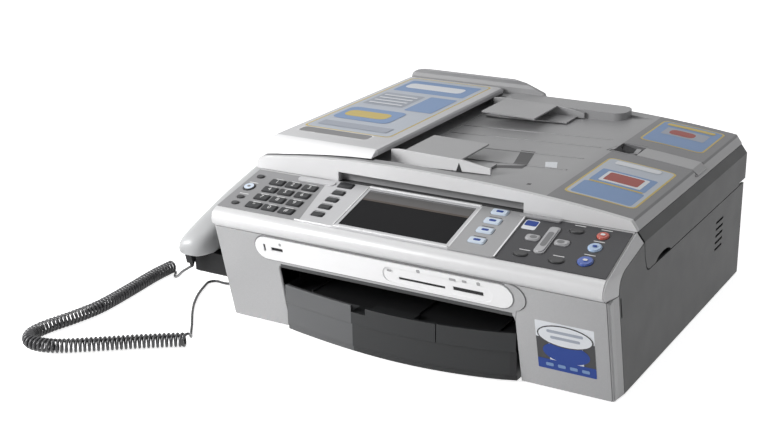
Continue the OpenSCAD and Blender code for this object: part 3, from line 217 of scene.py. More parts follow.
def metal_flake(name, colour, rough, edge=0.4):
    """Silver lacquer: fine flakes that vary in tone under a satin surface."""
    s = Shader(name)
    flakes = s.add("ShaderNodeTexVoronoi")
    flakes.inputs["Scale"].default_value = FLAKE_SCALE
    s.link(s.coords, flakes.inputs["Vector"])
    tone = s.add("ShaderNodeSeparateColor")
    s.link(flakes.outputs["Color"], tone.inputs[0])
    dark, light = ([min(1.0, c * k) for c in colour] for k in FLAKE_TONES)
    s.link(s.mix(tone.outputs[0], dark, light), s.bsdf.inputs["Base Color"])
    smoother, rougher = LACQUER_SPREAD
    sheen = s.spread(s.noise(LACQUER_SHEEN_SCALE, detail=3.0), rough + smoother,
                     rough + rougher)
    s.link(sheen, s.bsdf.inputs["Roughness"])
    s.set(Metallic=FLAKE_METAL)
    s.relief(s.noise(LACQUER_GRAIN_SCALE), LACQUER_GRAIN_DEPTH * MM, LACQUER_GRAIN_STRENGTH,
             edge * MM)
    return s.material


def glass(name):
    """Clear glass with a trace of green and an uneven polish."""
    s = Shader(name)
    s.set(Base_Color=GLASS_TINT, Transmission_Weight=0.9, IOR=1.5)
    s.link(s.spread(s.noise(GLASS_SHEEN_SCALE), *GLASS_ROUGHNESS), s.bsdf.inputs["Roughness"])
    return s.material


def key_cap(name, colour, rough, coat, edge=0.8):
    """A glossy coloured key with well rounded edges."""
    return plastic(name, colour, rough, coat=coat, edge=edge)


def print_ink(name, colour, rough=0.5, mottle=0.05):
    """Matt ink of a caption or character."""
    return plastic(name, colour, rough, edge=0, mottle=mottle)


def label_stock(name, colour, mottle):
    """Coated paper of a label."""
    return plastic(name, colour, 0.42, specular=0.2, edge=0, mottle=mottle)


# the zones of some materials, as (axis, low, high, colour); several are painted shade and
# light
PLATE_SHADE_ZONES = [("X", 248, FAR, (0.34, 0.34, 0.345))]            # right of the display: painted shade, darker where less of the lamps' light reaches
FEEDER_HIGHLIGHT_ZONES = [("Y", -FAR, 93, (0.86, 0.86, 0.865))]           # its rounded front: a painted highlight, much lighter than the cover's own colour
LID_TONE_AND_SHADING_ZONES = [("X", 306, 387.5, (0.165, 0.165, 0.17)),           # the flat right of the tray: painted shade, where the crown falls away to the right
             ("X", 387.5, FAR, (0.42, 0.42, 0.425)),            # the right side: painted light, lighter than the lid's own colour
             ("Y", -FAR, 74, (0.64, 0.64, 0.645))]              # the front edge
GUIDE_ZONES = [("Y", 100, 109.4, (0.74, 0.74, 0.745))]          # wall of the front guide
TRAY_SHADE_ZONES = [("X", 150, FAR, (0.022, 0.023, 0.024)),           # right of its step: painted shade, darker where the light falls off
              ("Y", 14.5, FAR, (0.014, 0.014, 0.015))]          # under the machine: painted shade, where the mouth shades the tray
FIELD_ZONES = [("X", 200, FAR, (0.052, 0.052, 0.056))]          # the right key field

M = {
    "silver": metal_flake("silver lacquer", (0.38, 0.38, 0.385), 0.42),
    "bright": metal_flake("bright silver lacquer", (0.80, 0.80, 0.805), 0.26, 0.3),
    "panel": plastic("panel plastic", (0.62, 0.62, 0.625), 0.36, metallic=0.1, depth=0.012),
    "plate": plastic("centre plate lacquer", (0.52, 0.52, 0.53), 0.36, metallic=0.2,
                     depth=0.012, zones=PLATE_SHADE_ZONES),
    "pale": plastic("pale plastic", (0.84, 0.84, 0.845), 0.3, depth=0.01, mottle=0.015,
                    coat=0.3),
    "feeder": plastic("feeder cover plastic", (0.60, 0.60, 0.61), 0.42, mottle=0.02,
                      zones=FEEDER_HIGHLIGHT_ZONES),
    "handset": plastic("handset plastic", (0.44, 0.445, 0.45), 0.34, depth=0.015,
                       mottle=0.03),
    "lid": plastic("lid plastic", (0.30, 0.30, 0.305), 0.45, metallic=0.1, depth=0.04,
                   zones=LID_TONE_AND_SHADING_ZONES),
    "guide": plastic("guide plastic", (0.34, 0.34, 0.345), 0.42, metallic=0.1, depth=0.03,
                     zones=GUIDE_ZONES),
    "grey": plastic("grey plastic", (0.17, 0.17, 0.175), 0.42, depth=0.02),
    "nav": plastic("navigation key", (0.40, 0.40, 0.41), 0.3, metallic=0.2, depth=0.01),
    "charcoal": plastic("charcoal plastic", (0.040, 0.041, 0.042), 0.5, depth=0.06,
                        specular=0.35),
    "tray": plastic("tray plastic", (0.10, 0.102, 0.105), 0.42, depth=0.05, specular=0.3,
                    zones=TRAY_SHADE_ZONES),
    "black": plastic("black plastic", (0.010, 0.010, 0.011), 0.45, depth=0.03,
                     specular=0.25),
    "field": plastic("dark key field", (0.27, 0.27, 0.275), 0.42, depth=0.02, specular=0.3,
                     zones=FIELD_ZONES),
    "key": plastic("key plastic", (0.020, 0.021, 0.023), 0.36, depth=0.02, edge=0.5,
                   specular=0.35),
    "side_key": plastic("side key plastic", (0.03, 0.03, 0.032), 0.34, depth=0.02, edge=0.5),
    "metal": plastic("plated steel", (0.62, 0.62, 0.63), 0.28, metallic=1.0, depth=0.01),
    "rubber": plastic("rubber", (0.02, 0.02, 0.02), 0.75, depth=0.06, grain=900.0),
    "board": plastic("circuit board", (0.02, 0.12, 0.05), 0.4, depth=0.04, grain=500.0),
    "white": plastic("white plastic", (0.82, 0.82, 0.82), 0.5, depth=0.02, mottle=0.02),
    "window": plastic("display window", (0.008, 0.008, 0.009), 0.3, depth=0.001, edge=0.2,
                      mottle=0.2, specular=0.06),
    "cord": plastic("cord jacket", (0.042, 0.042, 0.045), 0.27, depth=0.02, grain=700.0,
                    edge=0),
    "glass": glass("scanner glass"),
    "red": key_cap("red key", (0.52, 0.10, 0.07), 0.25, 0.4),
    "light_blue": key_cap("light blue key", (0.42, 0.55, 0.74), 0.25, 0.4),
    "blue": key_cap("blue key", (0.05, 0.11, 0.42), 0.22, 0.5),
    "mode": key_cap("mode key", (0.62, 0.70, 0.80), 0.3, 0.3, edge=0.6),
    "legend": print_ink("white legend", (0.72, 0.72, 0.72)),
    "ink": print_ink("grey legend", (0.09, 0.09, 0.095)),
    "dark": print_ink("dark legend", (0.02, 0.02, 0.022)),
    "band": print_ink("display band", (0.075, 0.072, 0.07), 0.3, 0.3),
    "brown": print_ink("display band edge", (0.045, 0.028, 0.018), 0.3, 0.4),
    "paper": label_stock("pale label", (0.50, 0.54, 0.60), 0.03),
    "paper_grey": label_stock("grey label", (0.36, 0.39, 0.45), 0.05),
    "paper_blue": label_stock("blue label", (0.2, 0.31, 0.52), 0.06),
    "paper_deep": label_stock("deep blue label", (0.025, 0.06, 0.27), 0.1),
    "paper_gold": label_stock("yellow label", (0.6, 0.46, 0.13), 0.05),
    "paper_red": label_stock("red label", (0.33, 0.06, 0.045), 0.1),
    "paper_white": label_stock("white label", (0.74, 0.76, 0.79), 0.02),
}

# ------------------------------------------------------------------- CAD nodes
NODE_LOOK = {
    "silver": ["front_cover", "ink_cover"],
    "panel": ["control_panel"],
    "plate": ["centre_plate", "lcd_housing"],
    "nav": ["nav_vertical", "nav_horizontal"],
    "guide": ["adf_guide_front", "adf_guide_rear", "output_flap"],
    "pale": ["card_bezel"],
    "feeder": ["adf_cover"],
    "handset": ["handset_shell"],
    "lid": ["document_cover"],
    "charcoal": ["body_case", "scanner_frame", "rear_cover"],
    "tray": ["paper_tray", "tray_cover"],
    "black": ["base_pan", "handset_cradle", "rear_sockets", "machine_plug", "handset_plug",
              "scan_carriage", "hook_switch", "handset_face", "print_carriage",
              "ink_cartridges"],
    "field": ["key_fields"],
    "key": ["one_touch_keys", "key_star", "key_0", "key_hash"]
           + [f"key_{i}" for i in range(1, 10)],
    "side_key": ["small_keys"],
    "red": ["stop_key"],
    "light_blue": ["colour_key"],
    "mode": ["mode_keys"],
    "blue": ["mono_key"],
    "window": ["lcd_window"],
    "glass": ["scanner_glass"],
    "white": ["platen_pad"],
    "rubber": ["adf_feed_roller", "feed_roller", "exit_roller", "rubber_feet"],
    "metal": ["print_frame"],
    "board": ["main_board"],
    "cord": ["curly_cord", "cord_handset_tail", "cord_machine_tail"],
}
WELD_DISTANCE = 0.002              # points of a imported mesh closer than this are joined
SMOOTH_ANGLE = math.radians(28)    # edges that turn more than this stay sharp


def smoothing_group(angle):
    """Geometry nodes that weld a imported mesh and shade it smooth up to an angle."""
    group = bpy.data.node_groups.new("smooth by angle", "GeometryNodeTree")
    group.interface.new_socket("Mesh", in_out="INPUT", socket_type="NodeSocketGeometry")
    group.interface.new_socket("Mesh", in_out="OUTPUT", socket_type="NodeSocketGeometry")
    new, link = group.nodes.new, group.links.new
    start, end = new("NodeGroupInput"), new("NodeGroupOutput")
    weld = new("GeometryNodeMergeByDistance")
    weld.inputs["Distance"].default_value = WELD_DISTANCE * MM
    faces = new("GeometryNodeSetShadeSmooth")
    edges = new("GeometryNodeSetShadeSmooth")
    edges.domain = "EDGE"
    edges.inputs["Shade Smooth"].default_value = False
    turn = new("GeometryNodeInputMeshEdgeAngle")
    sharp = new("FunctionNodeCompare")
    sharp.operation = "GREATER_THAN"
    sharp.inputs["B"].default_value = angle
    link(start.outputs[0], weld.inputs["Geometry"])
    link(weld.outputs["Geometry"], faces.inputs["Geometry"])
    link(faces.outputs["Geometry"], edges.inputs["Geometry"])
    link(turn.outputs["Unsigned Angle"], sharp.inputs["A"])
    link(sharp.outputs["Result"], edges.inputs["Selection"])
    link(edges.outputs["Geometry"], end.inputs[0])
    return group


def dress_nodes():
    """Gives each CAD node its material and smooth shading."""
    smooth = smoothing_group(SMOOTH_ANGLE)
    for look, names in NODE_LOOK.items():
        for name in names:
            node = NODES[name]
            node.data.materials.clear()
            node.data.materials.append(M[look])
            node.modifiers.new("smooth", "NODES").node_group = smooth


# -------------------------------------------------------------------- builders
BEVEL_SEGMENTS = 3
BEVEL_ANGLE = math.radians(35)     # edges sharper than this are rounded


def put(name, data):
    """A new object of the scene, with its data."""
    obj = bpy.data.objects.new(name, data)
    bpy.context.scene.collection.objects.link(obj)
    return obj


def piece(name, points, faces, look, body, smooth=False, bevel=0.0):
    """A mesh in the frame's metres. It rides on a body, if one is given."""
    data = bpy.data.meshes.new(name)
    data.from_pydata([tuple(p) for p in points], [], faces)
    data.update()
    data.materials.append(M[look])
    obj = put(name, data)
    if smooth:
        data.shade_smooth()
    if bevel:
        mod = obj.modifiers.new("bevel", "BEVEL")
        mod.width, mod.segments, mod.limit_method = bevel * MM, BEVEL_SEGMENTS, "ANGLE"
        mod.angle_limit = BEVEL_ANGLE
    if body:
        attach(obj, body)
    return obj


def rounded(x0, y0, x1, y1, r, steps):
    """Outline of a rounded rectangle, counter-clockwise, with steps to each corner."""
    out = []
    for cx, cy, start in ((x1 - r, y1 - r, 0), (x0 + r, y1 - r, 90),
                          (x0 + r, y0 + r, 180), (x1 - r, y0 + r, 270)):
        for i in range(steps + 1):
            a = math.radians(start + 90 * i / steps)
            out.append((cx + r * math.cos(a), cy + r * math.sin(a)))
    return out


def plate(name, outline, place, low, high, look, body, bevel=0.0):
    """An outline raised from low to high by place(x, y, n)."""
    n = len(outline)
    points = [place(x, y, level) for level in (low, high) for x, y in outline]
    faces = [list(range(n - 1, -1, -1)), list(range(n, 2 * n))]
    faces += [[i, (i + 1) % n, n + (i + 1) % n, n + i] for i in range(n)]
    return piece(name, points, faces, look, body, bevel=bevel)


def along(path, side=None):
    """Each point of a path with two directions square to it that turn with the path."""
    last = len(path) - 1
    for i, p in enumerate(path):
        heading = (path[min(i + 1, last)] - path[max(i - 1, 0)]).normalized()
        if side is None:
            side = heading.orthogonal()
        side = (side - heading * side.dot(heading)).normalized()
        yield p, side, heading.cross(side)


def tube(name, path, radius, look, body, sides):
    """A round tube along points in the frame's metres, closed at both ends.

    radius is a number, or a function of the way along the path, from 0 to 1.
    """
    last = len(path) - 1
    rings, faces = [], []
    for i, (p, side, other) in enumerate(along(path)):
        r = radius(i / last) if callable(radius) else radius
        for k in range(sides):
            a = 2 * math.pi * k / sides
            rings.append(p + r * MM * (math.cos(a) * side + math.sin(a) * other))
    for i in range(last):
        near, far = i * sides, (i + 1) * sides
        for k in range(sides):
            k2 = (k + 1) % sides
            faces.append([near + k, near + k2, far + k2, far + k])
    faces.append(list(range(sides - 1, -1, -1)))
    faces.append([last * sides + k for k in range(sides)])
    return piece(name, rings, faces, look, body, smooth=True)


def through(route, steps):
    """The smooth curve through a route's points, as part.scad draws it."""
    out = []
    n = len(route) - 1
    for i in range(n):
        a, b = route[max(i - 1, 0)], route[i]
        c, d = route[i + 1], route[min(i + 2, n)]
        for k in range(steps):
            u = k / steps
            out.append(0.5 * (2 * b + (c - a) * u + (2 * a - 5 * b + 4 * c - d) * u * u
                              + (3 * b - a - 3 * c + d) * u ** 3))
    return out + [route[n]]


def evenly(path, count):
    """The same path cut at count equal steps."""
    lengths = [0.0]
    for a, b in zip(path, path[1:]):
        lengths.append(lengths[-1] + (b - a).length)
    out, j = [], 0
    for i in range(count + 1):
        want = lengths[-1] * i / count
        while j < len(path) - 2 and lengths[j + 1] < want:
            j += 1
        span = lengths[j + 1] - lengths[j]
        out.append(path[j].lerp(path[j + 1], (want - lengths[j]) / span if span else 0))
    return out


def length_of(path):
    """The length of a path in metres."""
    return sum((b - a).length for a, b in zip(path, path[1:]))


# ------------------------------------------------------------------------ cord
CORD_D = 2.8                       # diameter of the cord itself
COIL_D = 14.0                      # outer diameter of its coils
COIL_PITCH = 4.2                   # way along the route from turn to turn
POINTS_PER_TURN = 16
ROUTE_STEPS = 24                   # points of the coil's route between two of its own
TAIL_STEPS = 5                     # the same for the straight ends
CORD_SIDES = 8
RELIEF_R, RELIEF_TAPER = 2.7, 1.1  # radius of the strain relief, and what it loses
RELIEF_POINTS = 16                 # how many points of the cord it covers
RELIEF_SIDES = 16
COIL_ROUTE = [(-125, 80, 7.1), (-125, 49, 7.1), (-121, 2, 7.1), (-119, -40, 7.1),
              (-124, -73, 7.1), (-131, -102, 7.1), (-131, -122, 7.1), (-121, -134, 7.1),
              (-106, -135, 7.1), (-88, -128, 7.1), (-59, -107, 7.1), (-30, -85, 7.1),
              (-1, -65, 7.1), (6, -61.8, 7.1)]
HANDSET_TAIL = [(-61, 34.7, 39.3), (-61.3, 35.3, 37), (-62.2, 36.1, 35.1),
                (-63.7, 36.9, 33.6), (-67, 37.9, 31.5), (-71.5, 39.3, 28.6),
                (-77.5, 41.5, 24.7), (-85, 46.1, 19.2), (-95, 53.6, 11.6),
                (-105, 61.2, 5.4), (-111.6, 66.9, 2.5), (-115.8, 72, 1.6),
                (-118.6, 76.6, 1.5), (-121.4, 79.5, 1.5)]
MACHINE_TAIL = [(5.6, -58.6, 12.1), (4.6, -55.2, 10), (3, -51.6, 6.6), (0.4, -47.8, 3.5),
                (-3.6, -43, 1.9), (-9.5, -35.4, 1.6), (-20, -21, 1.6), (-36, 0, 1.6),
                (-49, 19, 1.6), (-59.5, 38, 1.6), (-65.6, 52, 1.6), (-68.8, 61, 1.6),
                (-71.5, 69, 1.6), (-72, 72.9, 1.6), (-70.4, 76.6, 1.6), (-67, 78.9, 1.6),
                (-62.9, 78.8, 1.8), (-57, 77.1, 2.3), (-50, 74.9, 3.6), (-42, 72.4, 5.8),
                (-28, 69.8, 10.2), (-16, 68.4, 13.4), (-8, 68, 14)]


def coil_path():
    """The cord's own path round the coil's route: it starts at the bottom and ends on top."""
    route = through([at(*p) for p in COIL_ROUTE], ROUTE_STEPS)
    turns = round(length_of(route) / (COIL_PITCH * MM)) + 0.5
    line = evenly(route, int(turns * POINTS_PER_TURN))
    radius = (COIL_D - CORD_D) / 2 * MM
    out = []
    for i, (p, side, other) in enumerate(along(line, Vector((1, 0, 0)))):
        a = -math.pi / 2 - 2 * math.pi * i / POINTS_PER_TURN
        out.append(p + radius * (math.cos(a) * side + math.sin(a) * other))
    return out


def declare(path):
    """Works out a cord piece's first point, length and points, and keeps none of them."""
    tuple(path[0])
    round(length_of(path), 3)
    [tuple(p) for p in path]


def handset_cord():
    """The handset's cord in two pieces, which meet at the first turn of the coil."""
    coil = coil_path()
    handset_tail = [at(*p) for p in HANDSET_TAIL]
    machine_tail = [at(*p) for p in MACHINE_TAIL]
    near_path = through(handset_tail + coil[:2], TAIL_STEPS)[:-TAIL_STEPS]
    far_path = coil + through(coil[-2:] + machine_tail, TAIL_STEPS)[TAIL_STEPS + 1:]
    near = tube("handset_cord_tail", near_path, CORD_D / 2, "cord", None,
                CORD_SIDES)
    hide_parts("cord_handset_tail")
    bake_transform(near)
    far = tube("coiled_handset_cord", far_path, CORD_D / 2, "cord", "chassis",
               CORD_SIDES)
    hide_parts("curly_cord", "cord_machine_tail")
    declare(near_path)
    declare(far_path)
    tube("handset_strain_relief", near_path[:RELIEF_POINTS],
         lambda u: RELIEF_R - RELIEF_TAPER * u, "black", "handset",
         RELIEF_SIDES)


# --------------------------------------------------------------- small details
REACH = 400.0                      # how far from a skin a ray starts, and how far it goes
FRONT_REACH = (-3.0, 40.0)         # where such a ray runs at the front and the panel
PANEL_REACH = (-2.0, 30.0)
LABEL_LIFT = 0.08                  # the lowest sheet of a label above the skin
SHEET_LIFT = 0.05                  # each further sheet above the one under it
FEEDER_MARK_LIFT, INK_MARK_LIFT = 0.6, 0.5   # of marks on top of all sheets
COLUMNS, BOX_STEPS, CORNER_STEPS, OVAL_STEPS = 8, 6, 4, 14
BORDER, PLATE_BORDER = 1.8, 1.4    # widths of the borders of labels and name plate
OVAL_TIP = 0.02                    # half the width of an oval's first and last row
PRINT_THICK = 0.06                 # of flat prints
SURFACES = {}


def surface(node, place, x, y, lift):
    """The point lift mm above a node's skin, straight below place(x, y, high)."""
    if node not in SURFACES:
        mesh = NODES[node].data
        SURFACES[node] = BVHTree.FromPolygons([v.co for v in mesh.vertices],
                                              [tuple(p.vertices) for p in mesh.polygons])
    start, low = place(x, y, REACH), place(x, y, -REACH)
    way = (low - start).normalized()
    hit = SURFACES[node].ray_cast(start, way)[0]
    return (hit or place(x, y, 0)) - way * lift * MM


def near_front(x, s, n):
    """on_front with its reach held to what stands before the front."""
    low, high = FRONT_REACH
    return on_front(x, s, max(low, min(n, high)))


def near_panel(x, t, n):
    """on_panel with its reach held to what stands on the panel."""
    low, high = PANEL_REACH
    return on_panel(x, t, max(low, min(n, high)))


def grid_faces(rows, columns):
    """The faces of a grid of points that are listed row by row."""
    w = columns + 1
    return [[j * w + k, j * w + k + 1, (j + 1) * w + k + 1, (j + 1) * w + k]
            for j in range(rows) for k in range(columns)]


def draped(name, rows, node, place, lift, look, body):
    """A thin sheet on a node's skin. rows are (y, x0, x1), from low to high y."""
    points = [surface(node, place, x0 + (x1 - x0) * k / COLUMNS, y, lift)
              for y, x0, x1 in rows for k in range(COLUMNS + 1)]
    return piece(name, points, grid_faces(len(rows) - 1, COLUMNS), look, body)


def box_rows(x0, y0, x1, y1, r=0.0):
    """Rows (y, x0, x1) of a rectangle whose corners are rounded by r."""
    corner = [y0 + r * (1 - math.cos(math.pi / 2 * i / CORNER_STEPS))
              for i in range(CORNER_STEPS + 1)] if r else [y0]
    straight = [y0 + r + (y1 - y0 - 2 * r) * i / BOX_STEPS for i in range(1, BOX_STEPS)]
    rows = []
    for y in corner + straight + [y1 - (y - y0) for y in reversed(corner)]:
        near = max(0.0, r - min(y - y0, y1 - y))
        inset = r - math.sqrt(max(0.0, r * r - near * near))
        rows.append((y, x0 + inset, x1 - inset))
    return rows


def oval_rows(x, y, rx, ry):
    """Rows (y, x0, x1) of an oval round (x, y)."""
    rows = []
    for i in range(OVAL_STEPS + 1):
        a = math.pi * (i / OVAL_STEPS - 0.5)
        w = max(OVAL_TIP, rx * math.cos(a))
        rows.append((y + ry * math.sin(a), x - w, x + w))
    return rows


def stack(name, node, place, body, layers):
    """Sheets printed or stuck one over the other; each is (rows, look)."""
    for i, (rows, look) in enumerate(layers):
        draped(f"{name}_{i + 1}", rows, node, place, LABEL_LIFT + SHEET_LIFT * i, look, body)


def framed(x0, y0, x1, y1, r, border, ground, width=BORDER):
    """A label's first two sheets: its border, and its ground within the border's width."""
    inner = box_rows(x0 + width, y0 + width, x1 - width, y1 - width, r - 1)
    return [(box_rows(x0, y0, x1, y1, r), border), (inner, ground)]


def flat(name, outline, place, n, look, body="chassis"):
    """A thin flat print whose underside is n above the plane of place."""
    plate(name, outline, place, n, n + PRINT_THICK, look, body)


# ---------------------------------------------------------------------- labels
def feeder_label():
    """The feeder cover's large label, in plain blocks of colour with a thin border."""
    stack("feeder_label", "adf_cover", at, "feeder_door", [
        *framed(15, 130, 115, 355, 6, "paper_gold", "paper"),
        (box_rows(22, 296, 108, 344, 3), "paper_blue"),
        (box_rows(27, 312, 96, 332, 6), "paper_white"),
        (box_rows(22, 232, 70, 284, 2), "paper_grey"),
        (box_rows(76, 226, 108, 286, 2), "paper_blue"),
        (box_rows(22, 170, 88, 216, 8), "paper_blue"),
        (box_rows(28, 182, 78, 204, 8), "paper_gold"),
        (box_rows(24, 142, 104, 158, 1), "paper_grey")])
    for i in range(4):
        y = 238 + 11 * i
        draped(f"feeder_label_line_{i + 1}", box_rows(26, y, 66, y + 4), "adf_cover", at,
               FEEDER_MARK_LIFT, "paper_white", "feeder_door")


def lid_labels():
    """The two labels right of the feeder's tray, made as the feeder's is."""
    stack("near_label", "document_cover", at, "lid", [
        *framed(312, 95, 379, 207, 6, "paper_gold", "paper"),
        (box_rows(317, 99, 374, 134, 3), "paper_blue"),
        (box_rows(319, 138, 372, 174, 2), "paper_blue"),
        (box_rows(326, 142, 366, 170, 2), "paper_white"),
        (box_rows(329, 146, 362, 168, 2), "paper_red"),
        (box_rows(320, 134.6, 371, 137.4, 1), "paper_gold"),
        (box_rows(322, 192, 366, 202, 3), "paper_white")])
    stack("far_label", "document_cover", at, "lid", [
        *framed(313, 280, 378, 356, 6, "paper_gold", "paper_blue"),
        (box_rows(319, 286, 372, 306, 3), "paper_blue"),
        (box_rows(324, 312, 368, 336, 2), "paper_grey"),
        (box_rows(330, 316, 356, 332, 6), "paper_red"),
        (box_rows(320, 342, 370, 350, 3), "paper_gold")])


def name_plate():
    """A bare name plate near the front of the feeder cover."""
    stack("name_plate", "adf_cover", at, "feeder_door",
          framed(18, 112, 100, 130, 5, "bright", "grey", PLATE_BORDER))


def ink_label():
    """The ink cover's label: blue and dark blocks behind a white oval, bars and spots."""
    stack("ink_label", "ink_cover", near_front, "ink_door", [
        (box_rows(328.6, 23, 382, 73, 1), "paper_white"),
        (box_rows(328.6, 33, 340, 56), "dark"),
        (box_rows(371, 33, 382, 58), "dark"),
        (box_rows(328.6, 23, 382, 33.5, 1), "paper_deep"),
        (oval_rows(355.5, 43, 21.5, 10.5), "paper_deep"),
        (oval_rows(355.5, 60, 25.6, 11.4), "dark"),
        (oval_rows(355.5, 60, 24.4, 10.2), "paper_white")])
    for i, (x0, x1, s) in enumerate(((339, 372, 62.4), (342, 369, 56.4))):
        draped(f"ink_label_bar_{i + 1}", box_rows(x0, s, x1, s + 3, 1.2), "ink_cover",
               near_front, INK_MARK_LIFT, "paper_grey", "ink_door")
    for i, x in enumerate((336, 347, 358, 369)):
        draped(f"ink_label_spot_{i + 1}", box_rows(x, 26.6, x + 7, 30, 1), "ink_cover",
               near_front, INK_MARK_LIFT, "paper_blue", "ink_door")


def panel_label():
    """The small white and blue label among the keys on the right."""
    stack("panel_label", "key_fields", near_panel, "chassis", [
        (box_rows(294.5, 48.5, 307.5, 63, 2), "paper_white"),
        (box_rows(295.2, 54, 306.8, 62, 1.6), "paper_deep")])


# --------------------------------------------------------------- panel markings
DIAL_X, DIAL_T = (38, 56, 75), (51.8, 38.6, 24.8, 10.8)    # middles of the dial keys
DIAL = ["1", "2", "3", "4", "5", "6", "7", "8", "9", "star", "0", "hash"]
DIAL_SIGNS = {"star": "*", "hash": "#"}
TOUCH_X = (101, 113)               # ends of the captions over the one-touch keys
TOUCH_T = (65, 51.6, 39.4, 27, 14.2)
MODE_X, MODE_T = 267.5, (65, 50.2, 35, 19)
ROUND_X = 367                      # middle of the three round keys
NAV_X, NAV_T = 324.5, 37.8         # middle of the menu keys
NAV_REACH = 12.6                   # from there to the inlays left and right
SIDE_KEY = (14.5, 37.5)            # middle of the round key at the left
SIDE_CAPTIONS = ((14.5, 45.2), (16.5, 25.6), (312, 19), (343, 19), (343, 66), (ROUND_X, 66),
                 (ROUND_X, 48.4), (ROUND_X, 28))
DIAL_RISE, TOUCH_RISE, MODE_RISE = 5.4, 4.4, 5.6   # from a key's middle up to its caption
CAPTION_H, TOUCH_CAPTION_H = 0.9, 0.8
CAPTION_CORNER, CAPTION_STEPS, MARK_STEPS = 0.3, 2, 3
DIGIT_SIZE, DIGIT_RAISE = 6.6, 0.03
DIGIT_DROP = 0.3                   # how far below a key's middle its character sits
BAND_X = (134.4, 243.6)            # ends of the bands on the display
RAIL_CORNER, RAIL_BEVEL = 0.5, 0.2

FIELD_TOP = 0.88                   # heights above the panel's plane
TOUCH_PLATE_TOP, MODE_PLATE_TOP = 1.68, 1.7
DIAL_TOP, MODE_TOP, ROUND_TOP = 2.36, 2.84, 2.9
CAP_LIFT, SIGN_LIFT, BAND_LIFT = 0.1, 0.2, 0.06    # of draped marks above the skin


def raised_text(name, text, x, t, n, body):
    """Raised generic characters centred on a place of the panel."""
    data = bpy.data.curves.new(name, "FONT")
    data.body, data.size, data.extrude = text, DIGIT_SIZE * MM, DIGIT_RAISE * MM
    data.align_x, data.align_y = "CENTER", "CENTER"
    data.materials.append(M["legend"])
    here = on_panel(x, t, n)
    across = (on_panel(x + 1, t, n) - here).normalized()
    up = (on_panel(x, t + 1, n) - here).normalized()
    turn = Matrix((across, up, across.cross(up))).transposed().to_4x4()
    obj = put(name, data)
    obj.matrix_world = Matrix.Translation(here) @ turn
    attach(obj, body)


def caption(name, x0, x1, t, height, n, look):
    """A plain bar in the place of a caption, from t up the panel."""
    outline = rounded(x0, t, x1, t + height, CAPTION_CORNER, CAPTION_STEPS)
    flat(name, outline, on_panel, n, look)


def lozenge(name, x, t, half_width, half_height, r, n, look, body):
    """A small rounded mark on top of a key."""
    outline = rounded(x - half_width, t - half_height, x + half_width, t + half_height, r,
                      MARK_STEPS)
    flat(name, outline, on_panel, n, look, body)


def key_marks():
    """Characters, captions and marks of the keys."""
    for i, key in enumerate(DIAL):
        x, t = DIAL_X[i % 3], DIAL_T[i // 3]
        raised_text(f"digit_{key}", DIAL_SIGNS.get(key, key), x, t - DIGIT_DROP, DIAL_TOP,
                    f"b_key_{key}")
        # white bars for the letters printed above the dial keys, partly a painted highlight
        # of their upper edges
        caption(f"dial_caption_and_highlight_{key}", x - 5, x + 4, t + DIAL_RISE, CAPTION_H, FIELD_TOP,
                "legend")
    for i, t in enumerate(TOUCH_T):
        caption(f"touch_caption_{i + 1}", *TOUCH_X, t + TOUCH_RISE, TOUCH_CAPTION_H,
                TOUCH_PLATE_TOP, "ink")
    for i, t in enumerate(MODE_T):
        lozenge(f"mode_mark_{i + 1}", MODE_X, t, 3.4, 1.5, 1.2, MODE_TOP, "paper_deep",
                "b_mode_keys")
        caption(f"mode_caption_{i + 1}", MODE_X - 6, MODE_X + 6, t + MODE_RISE, CAPTION_H,
                MODE_PLATE_TOP, "ink")
    for i, (x, t) in enumerate(SIDE_CAPTIONS):
        caption(f"key_caption_{i + 1}", x - 5, x + 5, t, CAPTION_H, FIELD_TOP, "legend")
    for name, t, look in (("stop", 57.4, "legend"), ("colour", 39.4, "paper_deep"),
                          ("mono", 18.6, "legend")):
        lozenge(f"{name}_mark", ROUND_X, t, 2, 1.4, 1.1, ROUND_TOP, look, f"b_{name}_key")


def key_inlays():
    """The light cap of the round side key and dark inlays of the menu keys."""
    draped("side_key_cap", oval_rows(*SIDE_KEY, 5.0, 5.0), "small_keys", near_panel, CAP_LIFT,
           "mode", "b_small_keys")
    draped("side_key_sign", oval_rows(*SIDE_KEY, 1.8, 1.6), "small_keys", near_panel,
           SIGN_LIFT, "grey", "b_small_keys")
    draped("nav_inlay_vertical",
           box_rows(NAV_X - 2.6, NAV_T - 11, NAV_X + 2.6, NAV_T + 11, 2.4), "nav_vertical",
           near_panel, CAP_LIFT, "grey", "b_nav_vertical")
    for i, x in enumerate((NAV_X - NAV_REACH, NAV_X + NAV_REACH)):
        draped(f"nav_inlay_{i + 1}", oval_rows(x, NAV_T, 3.4, 2.4), "nav_horizontal",
               near_panel, CAP_LIFT, "grey", "b_nav_horizontal")


def display_bands():
    """Grey bands with a brown edge along the rear of the display."""
    x0, x1 = BAND_X
    for name, t0, t1, look in (("display_band_warm", 49, 51.5, "brown"),
                               ("display_band", 51.5, 63, "band"),
                               ("display_band_light", 63, 68.4, "grey")):
        draped(name, box_rows(x0, t0, x1, t1), "lcd_window", near_panel, BAND_LIFT, look,
               "display")


def bright_rails():
    """Bright metal trim round the display and on the centre plate."""
    for name, x0, t0, x1, t1, low, high in (
            ("rail_display_rear", 131, 69.0, 247, 71.0, 0.4, 2.2),
            ("rail_display_front", 131, 1.6, 247, 3.5, 0.4, 2.2),
            ("rail_plate_front", 90, 0.4, 131, 1.6, 0.3, 1.9),
            ("rail_plate_right", 290.6, 2, 292.2, 70, 0.3, 1.9),
            ("rail_display_left", 129.6, 3.5, 130.8, 69, 0.3, 1.9),
            ("rail_display_right", 247.2, 3.5, 248.6, 69, 0.3, 1.9)):
        plate(name, rounded(x0, t0, x1, t1, RAIL_CORNER, MARK_STEPS), on_panel, low, high,
              "bright", "chassis", RAIL_BEVEL)


